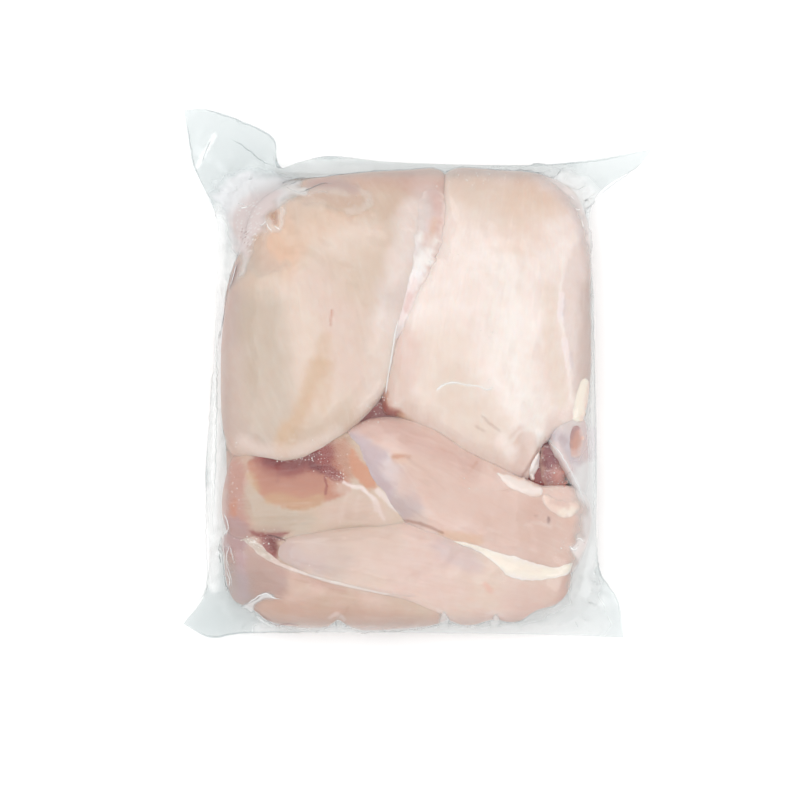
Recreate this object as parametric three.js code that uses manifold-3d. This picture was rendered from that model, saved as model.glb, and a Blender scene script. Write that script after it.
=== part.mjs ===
// A clear vacuum bag of raw chicken breast fillets, lying flat with the shown side up.
//
// The bag is drawn tight over two layers of fillets, so the pack is one closed solid: the fillets'
// crowns, the block of meat between them, and the flat seam of the bag round the waist, which
// stands out as an ear at each corner. Millimetres, +Z up, +Y towards the bag's mouth, origin on
// the underside at the middle of the pack's length and width.
import * as THREE from "three";
import { mergeVertices } from "three/addons/utils/BufferGeometryUtils.js";
import Module from "manifold-3d";

// Driving dimensions of the pack.
const BLOCK = { x: -9, y: -12, halfWidth: 113, halfLength: 138 };
const FLOOR_GAP = 4; // underside of the meat between the lower fillets' crowns
const LAYER_LINE = 22; // height of the seam, and where the two layers of fillets meet
const VALLEY = 38; // height of the film where it bridges two upper fillets
const CROWN = 47; // height of the upper fillets
const EDGE_RADIUS = 13; // rounding of the block's upper and lower edges
const CORNER_SHARPNESS = { face: 5, waist: 14 }; // superellipse powers of the block's plan
const SEAM_THICKNESS = 1.2; // two layers of film, made thick enough to be a solid
const SEAM_ROOT = 16; // how far the seam reaches into the block

// Upper fillets: middle, length, width, top and bottom height, and turn of the length from +X.
// tail is how much narrower the pointed end is, and it points along +length.
const UPPER_FILLETS = [
  { x: -58, y: 36, length: 184, width: 120, low: 8, high: CROWN, turn: -98, tail: 0.18 },
  { x: 49, y: 36, length: 188, width: 111, low: 8, high: CROWN, turn: 83, tail: 0.16 },
  { x: 31, y: -72, length: 150, width: 82, low: 10, high: CROWN - 3, turn: -24, tail: 0.12 },
  { x: -67, y: -74, length: 110, width: 76, low: 10, high: CROWN - 4, turn: 177, tail: 0.12 },
  { x: -9, y: -117, length: 204, width: 68, low: 12, high: CROWN - 3, turn: -4, tail: 0.08 },
  { x: -13, y: -131, length: 190, width: 44, low: 10, high: CROWN - 9, turn: -2, tail: 0.1 },
];

// Lower fillets, laid the other way round so that the pack is even in thickness.
const LOWER_FILLETS = [
  { x: -67, y: -60, length: 176, width: 108, low: 0, high: 30, turn: 86, tail: 0.14 },
  { x: 44, y: -62, length: 172, width: 112, low: 0, high: 30, turn: 95, tail: 0.16 },
  { x: -20, y: 54, length: 200, width: 84, low: 0, high: 30, turn: 6, tail: 0.14 },
  { x: -6, y: 97, length: 204, width: 60, low: 0, high: 30, turn: 182, tail: 0.1 },
];

const FILLET_ROUNDNESS = { plan: 0.72, side: 0.45 }; // powers below 1 make the ball boxier
const FLAT_DEPTH = 1.6; // how much of a lower fillet's crown the table presses flat

// The bag's outer edge, as four runs from corner to corner, each point [x, y, z].
const TIPS = {
  mouthLeft: [-144.3, 159.9, 46],
  mouthRight: [145.6, 142.9, 18],
  baseRight: [125, -161, 7],
  baseLeft: [-145.6, -152.6, 7],
};
const EDGES = [
  // mouth, with the raised ear on the left and its fold down to the block
  [TIPS.mouthLeft, [-131.8, 161, 44], [-110.9, 155.9, 38], [-89.9, 145.5, 30], [-88.8, 128.8, 26],
    [-74.7, 133, 24], [-58.6, 137.3, 22], [-18.7, 134.1, 20], [68.8, 132.2, 20],
    [106.4, 135.4, 20], TIPS.mouthRight],
  // right side
  [TIPS.mouthRight, [137.9, 132.7, 18], [108.4, 109.9, 20], [107.1, 46.8, LAYER_LINE],
    [108.4, -46.4, LAYER_LINE], [109.6, -119.6, 18], [121.1, -137.9, 12], TIPS.baseRight],
  // base
  [TIPS.baseRight, [76.2, -159.1, 12], [-12.4, -157.8, 14], [-110.2, -158.5, 12],
    [-128.9, -161, 8], TIPS.baseLeft],
  // left side
  [TIPS.baseLeft, [-130.8, -131.8, 16], [-131.3, -58.7, LAYER_LINE], [-127.6, -3.2, LAYER_LINE],
    [-126.4, 46.8, LAYER_LINE], [-126.8, 98.6, 22], [-139.7, 128, 36], [-140.9, 135.9, 42],
    TIPS.mouthLeft],
];
const SEAM_STEPS = [44, 30, 30, 34]; // steps along each run of the edge
const SEAM_BANDS = 3; // bands between the block and the outer edge

const FILM = new THREE.MeshStandardMaterial({ color: 0xe9cdbd, roughness: 0.25, metalness: 0 });

const wasm = await Module();
wasm.setup();

// A closed three.js geometry as a solid.
function solidOf(geometry) {
  const bare = geometry.clone();
  bare.deleteAttribute("normal");
  bare.deleteAttribute("uv");
  const merged = mergeVertices(bare, 1e-3);
  return new wasm.Manifold(
    new wasm.Mesh({
      numProp: 3,
      vertProperties: merged.attributes.position.array,
      triVerts: new Uint32Array(merged.index.array),
    }),
  );
}

// A solid as a three.js geometry again.
function geometryOf(solid) {
  const mesh = solid.getMesh();
  const geometry = new THREE.BufferGeometry();
  geometry.setAttribute("position", new THREE.BufferAttribute(mesh.vertProperties, 3));
  geometry.setIndex(new THREE.BufferAttribute(mesh.triVerts, 1));
  geometry.computeVertexNormals();
  return geometry;
}

// Moves every vertex of a geometry to where place(vertex) says.
function reshape(geometry, place) {
  const position = geometry.attributes.position;
  const vertex = new THREE.Vector3();
  for (let i = 0; i < position.count; i += 1) {
    vertex.fromBufferAttribute(position, i);
    const moved = place(vertex);
    position.setXYZ(i, moved.x, moved.y, moved.z);
  }
  return geometry;
}

function signedPower(value, power) {
  return Math.sign(value) * Math.abs(value) ** power;
}

// How far a wall with rounded edges stands in at level, which runs from -1 to 1 over height.
function edgeInset(level, height) {
  const bend = EDGE_RADIUS / (height / 2);
  const past = Math.max(0, Math.abs(level) - (1 - bend)) / bend;
  return EDGE_RADIUS * (1 - Math.sqrt(Math.max(0, 1 - past * past)));
}

// A point of the block's plan: across and along run from -1 to 1, and level gives the height.
function blockPoint(across, along, level) {
  const height = VALLEY - FLOOR_GAP;
  const inset = edgeInset(level, height);
  const sharpness = THREE.MathUtils.lerp(CORNER_SHARPNESS.waist, CORNER_SHARPNESS.face, Math.abs(level));
  const reach = Math.max(Math.abs(across), Math.abs(along));
  const norm = (Math.abs(across) ** sharpness + Math.abs(along) ** sharpness) ** (1 / sharpness);
  const rounding = norm > 0 ? reach / norm : 1;
  return new THREE.Vector3(
    BLOCK.x + across * rounding * (BLOCK.halfWidth - inset),
    BLOCK.y + along * rounding * (BLOCK.halfLength - inset),
    FLOOR_GAP + ((level + 1) / 2) * height,
  );
}

// The block of meat between the crowns of the fillets.
function block() {
  const box = new THREE.BoxGeometry(2, 2, 2, 16, 20, 8);
  return solidOf(reshape(box, (v) => blockPoint(v.x, v.y, v.z)));
}

// One fillet: a flattened ball, narrower at the tail and flat where it lies on the table.
function fillet({ x, y, length, width, low, high, turn, tail }) {
  const ball = new THREE.SphereGeometry(1, 32, 16).rotateX(Math.PI / 2);
  const angle = THREE.MathUtils.degToRad(turn);
  const halfHeight = (high - low) / 2 + (low === 0 ? FLAT_DEPTH / 2 : 0);
  reshape(ball, (v) => {
    const plan = Math.hypot(v.x, v.y);
    const spread = plan > 1e-6 ? plan ** FILLET_ROUNDNESS.side / plan : 0;
    const along = signedPower(v.x * spread, FILLET_ROUNDNESS.plan);
    const across = signedPower(v.y * spread, FILLET_ROUNDNESS.plan);
    const halfWidth = (width / 2) * (1 - tail * along);
    const z = high - halfHeight + signedPower(v.z, FILLET_ROUNDNESS.side) * halfHeight;
    return new THREE.Vector3((length / 2) * along, halfWidth * across, Math.max(0, z));
  });
  return solidOf(ball.rotateZ(angle).translate(x, y, 0));
}

// The bag's flat seam: a thin band from inside the block to the edge of the film.
function seam() {
  const runs = EDGES.map((run) => new THREE.CatmullRomCurve3(
    run.map((p) => new THREE.Vector3(...p)), false, "centripetal"));
  const outer = runs.flatMap((run, side) => run.getPoints(SEAM_STEPS[side]).slice(0, -1));
  // The inner edge goes round the block's waist, corner to corner with the outer edge.
  const corners = [[-1, 1], [1, 1], [1, -1], [-1, -1]];
  const inner = corners.flatMap(([a, b], side) => {
    const [c, d] = corners[(side + 1) % corners.length];
    return Array.from({ length: SEAM_STEPS[side] }, (_, step) => {
      const share = step / SEAM_STEPS[side];
      const waist = blockPoint(THREE.MathUtils.lerp(a, c, share), THREE.MathUtils.lerp(b, d, share), 0);
      const toMiddle = new THREE.Vector3(BLOCK.x, BLOCK.y, waist.z).sub(waist).setLength(SEAM_ROOT);
      return waist.add(toMiddle);
    });
  });
  // The seam's section turned about the axis, then laid along the edge: x is the reach from 1 to 2.
  const half = SEAM_THICKNESS / 2;
  const band = Array.from({ length: SEAM_BANDS + 1 }, (_, i) => 1 + i / SEAM_BANDS);
  const section = [
    ...band.map((reach) => new THREE.Vector2(reach, -half)),
    ...band.toReversed().map((reach) => new THREE.Vector2(reach, half)),
    new THREE.Vector2(1, -half),
  ];
  const steps = outer.length;
  const ring = new THREE.LatheGeometry(section, steps);
  reshape(ring, (v) => {
    // The edge's runs go clockwise seen from above, against the turning of the section.
    const turned = (1 - Math.atan2(v.x, v.z) / (2 * Math.PI)) % 1;
    const step = Math.round(turned * steps) % steps;
    const reach = Math.hypot(v.x, v.z) - 1;
    return inner[step].clone().lerp(outer[step], reach).add(new THREE.Vector3(0, 0, v.y));
  });
  return solidOf(ring);
}

const fillets = [...UPPER_FILLETS, ...LOWER_FILLETS].map(fillet);
const packSolid = [...fillets, seam()].reduce((whole, piece) => whole.add(piece), block());

const packGeometry = geometryOf(packSolid);
packGeometry.computeBoundingBox();
const middle = packGeometry.boundingBox.getCenter(new THREE.Vector3());

const pack = new THREE.Mesh(packGeometry, FILM);
pack.name = "bag_of_chicken_breasts";
pack.position.set(-middle.x, -middle.y, 0);

const root = new THREE.Group();
root.add(pack);
export default root;
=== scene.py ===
"""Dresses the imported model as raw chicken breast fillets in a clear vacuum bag.

The food's own sizes are written in millimetres, seen from above with +X to the right and +Y towards
the bag's mouth, and become metres when a mesh is made.
"""
import math
from collections import namedtuple

import bmesh
import bpy
import numpy as np
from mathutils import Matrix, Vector
from mathutils.bvhtree import BVHTree


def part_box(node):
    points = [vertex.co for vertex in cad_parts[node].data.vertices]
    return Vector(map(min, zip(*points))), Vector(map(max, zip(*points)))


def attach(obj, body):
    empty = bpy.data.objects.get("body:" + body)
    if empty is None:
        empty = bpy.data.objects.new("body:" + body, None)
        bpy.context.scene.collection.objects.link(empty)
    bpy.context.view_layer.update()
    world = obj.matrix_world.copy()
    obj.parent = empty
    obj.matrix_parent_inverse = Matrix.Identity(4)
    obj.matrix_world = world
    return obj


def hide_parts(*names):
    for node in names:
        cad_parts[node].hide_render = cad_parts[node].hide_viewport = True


bl_info = {
    "name": "Bag of Chicken Breasts",
    "version": (1, 0, 0),
    "blender": (4, 5, 0),
    "location": "View3D > Sidebar > Chicken Bag",
    "description": "Raw chicken breast fillets in a clear vacuum bag",
    "category": "Add Mesh",
}

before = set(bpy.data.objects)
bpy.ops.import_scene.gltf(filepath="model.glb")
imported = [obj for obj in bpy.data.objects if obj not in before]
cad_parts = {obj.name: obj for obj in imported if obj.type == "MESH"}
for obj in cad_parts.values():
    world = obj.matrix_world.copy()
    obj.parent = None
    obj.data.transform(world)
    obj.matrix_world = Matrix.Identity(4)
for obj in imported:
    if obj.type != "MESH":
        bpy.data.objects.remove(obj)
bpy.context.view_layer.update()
PACK = "bag_of_chicken_breasts"
PACK_LOW, PACK_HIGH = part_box(PACK)

MM = 0.001

# The photograph's camera: looking down from the bag's base, 84 degrees above the table.
CAMERA = {"aim": (-12.4, -18.2, 45.0), "elevation": 84.0, "distance": 978.0, "view_width": 480.0,
          "sensor": 36.0}

# The soft lamps: place in metres, width, and share of the lamp's power.
LAMPS = {
    "lamp_over": ((-0.3, 0.1, 1.7), 1.5, 1.0),
    "lamp_back": ((-0.7, 1.0, 1.2), 0.8, 0.4),
    "lamp_side": ((1.2, -0.7, 1.2), 0.6, 0.3),
}

# Colours as they are seen in the pack, in display values from 0 to 255.
TONES = {
    "cream": (230, 208, 192),
    "cream_dull": (222, 199, 181),
    "cream_pink": (248, 231, 223),
    "cream_warm": (241, 222, 208),
    "beige": (214, 188, 168),
    "rose": (228, 200, 189),
    "rose_warm": (226, 194, 181),
    "rose_deep": (205, 160, 148),
    "grey_pink": (205, 186, 177),
    "peach": (233, 196, 170),
    "tan": (219, 184, 152),
    "orange": (204, 146, 120),
    "rust": (199, 124, 96),
    "maroon": (158, 94, 94),
    "mauve": (192, 160, 160),
    "lilac": (204, 184, 190),
    "pearl": (246, 231, 227),
    "white": (253, 244, 238),
    "fat": (253, 240, 225),
    "fat_pink": (246, 216, 202),
    "blush": (240, 178, 162),
    "red": (216, 134, 116),
    "brown": (160, 104, 84),
    "slate": (128, 108, 108),
    "film": (208, 218, 219),
    "film_grey": (188, 196, 197),
    "veil": (214, 204, 211),
    # painted_highlight: a tone brighter than white, for painted glints and highlights on the film and the
    # wet meat
    "painted_highlight": (272, 274, 274),
    "crease": (140, 150, 152),
    "membrane": (233, 218, 214),
    "salmon": (188, 128, 110),
    "ochre": (208, 172, 134),
    "amber": (216, 142, 102),
    "dusk": (186, 156, 160),
    "cherry": (168, 113, 120),
    "wine": (104, 62, 74),
    "heart": (176, 104, 102),
    "oat": (236, 215, 201),
    "blossom": (255, 242, 236),
    "petal": (238, 210, 200),
    "petal_warm": (232, 200, 187),
    "terracotta": (206, 168, 150),
    "khaki": (201, 184, 167),
    "clay": (200, 137, 112),
    "claret": (150, 62, 60),
    "garnet": (112, 34, 40),
    "umber": (194, 130, 104),
    "coral": (216, 138, 98),
    "heather": (203, 172, 178),
    "fawn": (190, 158, 150),
    "dawn": (236, 218, 212),
    # frost_and_painted_light: whiter milk of the film, used as painted light that lifts shaded film and as
    # painted highlights on its folds
    "frost_and_painted_light": (252, 254, 254),
    "mist": (246, 247, 249),
    "haze_pink": (248, 238, 238),
    "haze_lilac": (242, 234, 239),
    "sand": (232, 216, 204),
    "shell": (254, 240, 238),
}
STAGE_LIGHT = 1.25  # how much brighter than white the stage lights a white face

# Points of each kind of curve: between two given points, round a fillet, round a patch, along a mark,
# along a fold, and over a fillet's profile.
STEPS = {"between": 24, "fillet": 720, "patch": 72, "mark": 40, "fold": 24, "profile": 4000}

# Where each part's random draws start.
SEEDS = {"fillets": 100, "heart": 31, "strips": 700, "meat_bits": 900, "bubbles": 900,
         "short_folds": 51, "film": 61, "creases": 71}

# Specks of a flecked mark: the heights of the ripples where a speck begins and where it is whole.
FLECKS = {"from": 0.5, "to": 1.3}

Mark = namedtuple("Mark", "tone strength width soft points fleck", defaults=(0,))
Patch = namedtuple("Patch", "tone strength soft outline fleck", defaults=(0,))
Fold = namedtuple("Fold", "rise width points")
Hump = namedtuple("Hump", "x y reach rise")

# Upper fillets. The outline runs round the fillet, its edge tucked under the neighbour's where they
# meet. low and high are heights of the underside and the crown, tilt is the rise of the crown for
# each millimetre along X and Y, and grain is the direction of the muscle fibres in degrees from +X.
UPPER = {
    "breast_back_left": {
        "outline": [(-108, 84), (-102, 103), (-80, 117.6), (-49, 123.5), (-12, 126.5), (14, 125.5),
            (19, 92), (4, 56), (-10, 20), (-18, -8), (-23, -16), (-29.5, -23.5), (-37, -31.5), (-53, -45),
            (-63, -51), (-75, -55), (-89, -56), (-103, -54), (-114, -50), (-120, -34), (-122, 0),
            (-121.4, 24), (-118.4, 46), (-114, 64)],
        "low": 12, "high": 46.4, "tilt": (0.0, -0.004), "grain": -78, "base": ("oat", "cream_dull"),
        "humps": [Hump(-62, 0, 55, 0.8), Hump(-88, 98, 30, -1.4), Hump(0, 92, 26, -1.6),
            Hump(-106, 100, 15, -5.0)],
    },
    "breast_back_right": {
        "outline": [(17, 125.5), (49, 126.5), (76, 123.5), (95, 112), (103, 95), (104.6, 43), (103.6, -6),
            (99, -28), (90, -37), (80, -41), (74, -45), (71, -54), (66, -64), (60, -68), (47, -62.5),
            (28, -53), (4, -38), (-14, -28.5), (-22, -26), (-24, -19), (-22.5, -6), (-16, 24), (-4, 54),
            (9, 78), (13, 98)],
        "low": 12, "high": 46.8, "tilt": (0.0, 0.0), "grain": -100, "base": ("blossom", "cream_pink"),
        "humps": [Hump(46, 16, 48, 0.9), Hump(90, 100, 26, -1.6), Hump(102, 106, 14, -5.0),
            Hump(62, -52, 14, -1.6)],
    },
    "breast_middle_right": {
        "outline": [(-47, -36), (-37, -29.5), (-28, -27), (-19, -26.5), (0, -29), (30, -46), (50, -57),
            (76, -69.4), (87, -68.6), (95, -70.2), (102.4, -79), (103.4, -91), (101, -102), (90, -122),
            (74, -122), (47, -116), (20, -108), (-7, -96), (-24, -81), (-40, -57)],
        "low": 12, "high": 44.2, "tilt": (0.006, 0.0), "grain": -26, "base": ("petal", "petal_warm"),
        "humps": [Hump(40, -90, 40, 0.6), Hump(4, -60, 12, -0.8), Hump(88, -84, 16, -1.4)],
    },
    "breast_middle_left": {
        "outline": [(-119, -66), (-111, -48), (-72, -40), (-40, -34), (-22, -42), (-8, -66), (0, -92),
            (-20, -104), (-76, -108), (-94, -108.6), (-112, -103), (-120, -88)],
        "low": 12, "high": 41.8, "tilt": (0.0, 0.0), "grain": 4, "base": ("cream_dull", "beige"),
        "humps": [Hump(-76, -57, 18, -3.6), Hump(-48, -60, 13, -2.2), Hump(-93, -103, 12, -4.4),
            Hump(-66, -102, 24, -3.4), Hump(-38, -94, 18, -2.0), Hump(-38, -52, 9, 0.5)],
    },
    "breast_front": {
        "outline": [(-88, -114), (-88, -107), (-84.4, -101.4), (-76, -98), (-60, -95.4), (-42, -93.2),
            (-25, -91.4), (-12, -89.4), (20, -98), (47, -107), (70, -112), (87, -117), (90.8, -124),
            (88, -134), (81, -140.5), (72, -143), (67, -145.4), (60, -150), (53, -150.8), (48, -149.8),
            (42, -149.6), (34, -152), (25.4, -152.6), (19, -150.5), (14, -147.5), (4, -144), (-12, -138),
            (-54, -129), (-80, -119)],
        "low": 12, "high": 44.0, "tilt": (0.0, 0.0), "grain": -12, "base": ("oat", "petal"),
        "humps": [Hump(-20, -112, 40, 0.7), Hump(60, -132, 24, -0.8)],
    },
    "breast_front_edge": {
        "outline": [(-119.5, -99), (-104, -94), (-84, -100), (-40, -108), (20, -118), (60, -128),
            (66, -134), (58, -143), (40, -145), (22, -146), (15, -150), (6, -153), (-6, -154.5),
            (-22, -155.5), (-36, -155.5), (-44, -153), (-49.8, -149.5), (-56, -153.5), (-66, -154.5),
            (-84, -152.5), (-93, -149.5), (-99, -145), (-103.5, -142), (-112, -138.5), (-116.5, -130),
            (-119, -114)],
        "low": 12, "high": 40.6, "tilt": (0.0, 0.0), "grain": -8, "base": ("rose_warm", "beige"),
        "humps": [Hump(-92, -106, 11, -4.5), Hump(-100, -124, 20, -1.0)],
    },
    "breast_side_right": {
        "outline": [(84, -28), (95, -24), (100, -29), (102, -45), (102, -60), (100.4, -71), (96.4, -75.6),
            (92, -70), (88, -63.4), (83.4, -55.5), (78.4, -47.5), (78, -38)],
        "low": 12, "high": 43.4, "tilt": (-0.03, 0.0), "grain": -60, "base": ("membrane", "pearl"),
        "humps": [Hump(104, -52, 15, -4.4), Hump(99, -75, 11, -3.4)],
    },
}

# Lower fillets, laid crosswise so that the pack is even in thickness, and pressed flat by the table.
LOWER = {
    "breast_under_left": {
        "outline": [(-112, -126), (-94, -139), (-62, -143), (-34, -141), (-14, -124), (-9, -60), (-12, -8),
            (-28, 16), (-60, 27), (-96, 24), (-115, 6), (-119, -60)],
        "low": 0.5, "high": 28, "tilt": (0.0, 0.0), "grain": 84, "base": ("cream", "rose"),
        "humps": [],
    },
    "breast_under_right": {
        "outline": [(-15, -128), (6, -142), (46, -144), (76, -138), (90, -118), (97, -92), (97, -60),
            (98, -36), (100, 0), (82, 20), (40, 14), (2, 6), (-16, -24), (-16, -80)],
        "low": 0.5, "high": 28, "tilt": (0.0, 0.0), "grain": 96, "base": ("cream_pink", "cream"),
        "humps": [],
    },
    "breast_under_middle": {
        "outline": [(-118, 24), (-84, 19), (-30, 9), (10, 1), (60, 8), (97, 16), (104, 48), (97, 74),
            (50, 83), (0, 81), (-50, 86), (-102, 88), (-119, 60)],
        "low": 0.5, "high": 28, "tilt": (0.0, 0.0), "grain": 2, "base": ("rose", "cream"),
        "humps": [],
    },
    "breast_under_back": {
        "outline": [(-116, 90), (-100, 78), (-50, 76), (0, 72), (60, 73), (97, 70), (103, 98), (93, 120),
            (50, 125), (-20, 126), (-90, 122), (-113, 110)],
        "low": 0.5, "high": 28, "tilt": (0.0, 0.0), "grain": -3, "base": ("cream", "beige"),
        "humps": [],
    },
}

# The gap at the front left, between the middle left fillet and the two at the front.
LEFT_GAP = [(-103.2, -95.9), (-97, -97.2), (-90, -97.5), (-85.2, -96.8), (-78, -97.6), (-82.9, -100),
    (-85.6, -102.9), (-86, -108.1), (-87, -113), (-89.9, -111.6), (-94.5, -107.4), (-96.8, -102.6),
    (-100, -99)]

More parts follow.
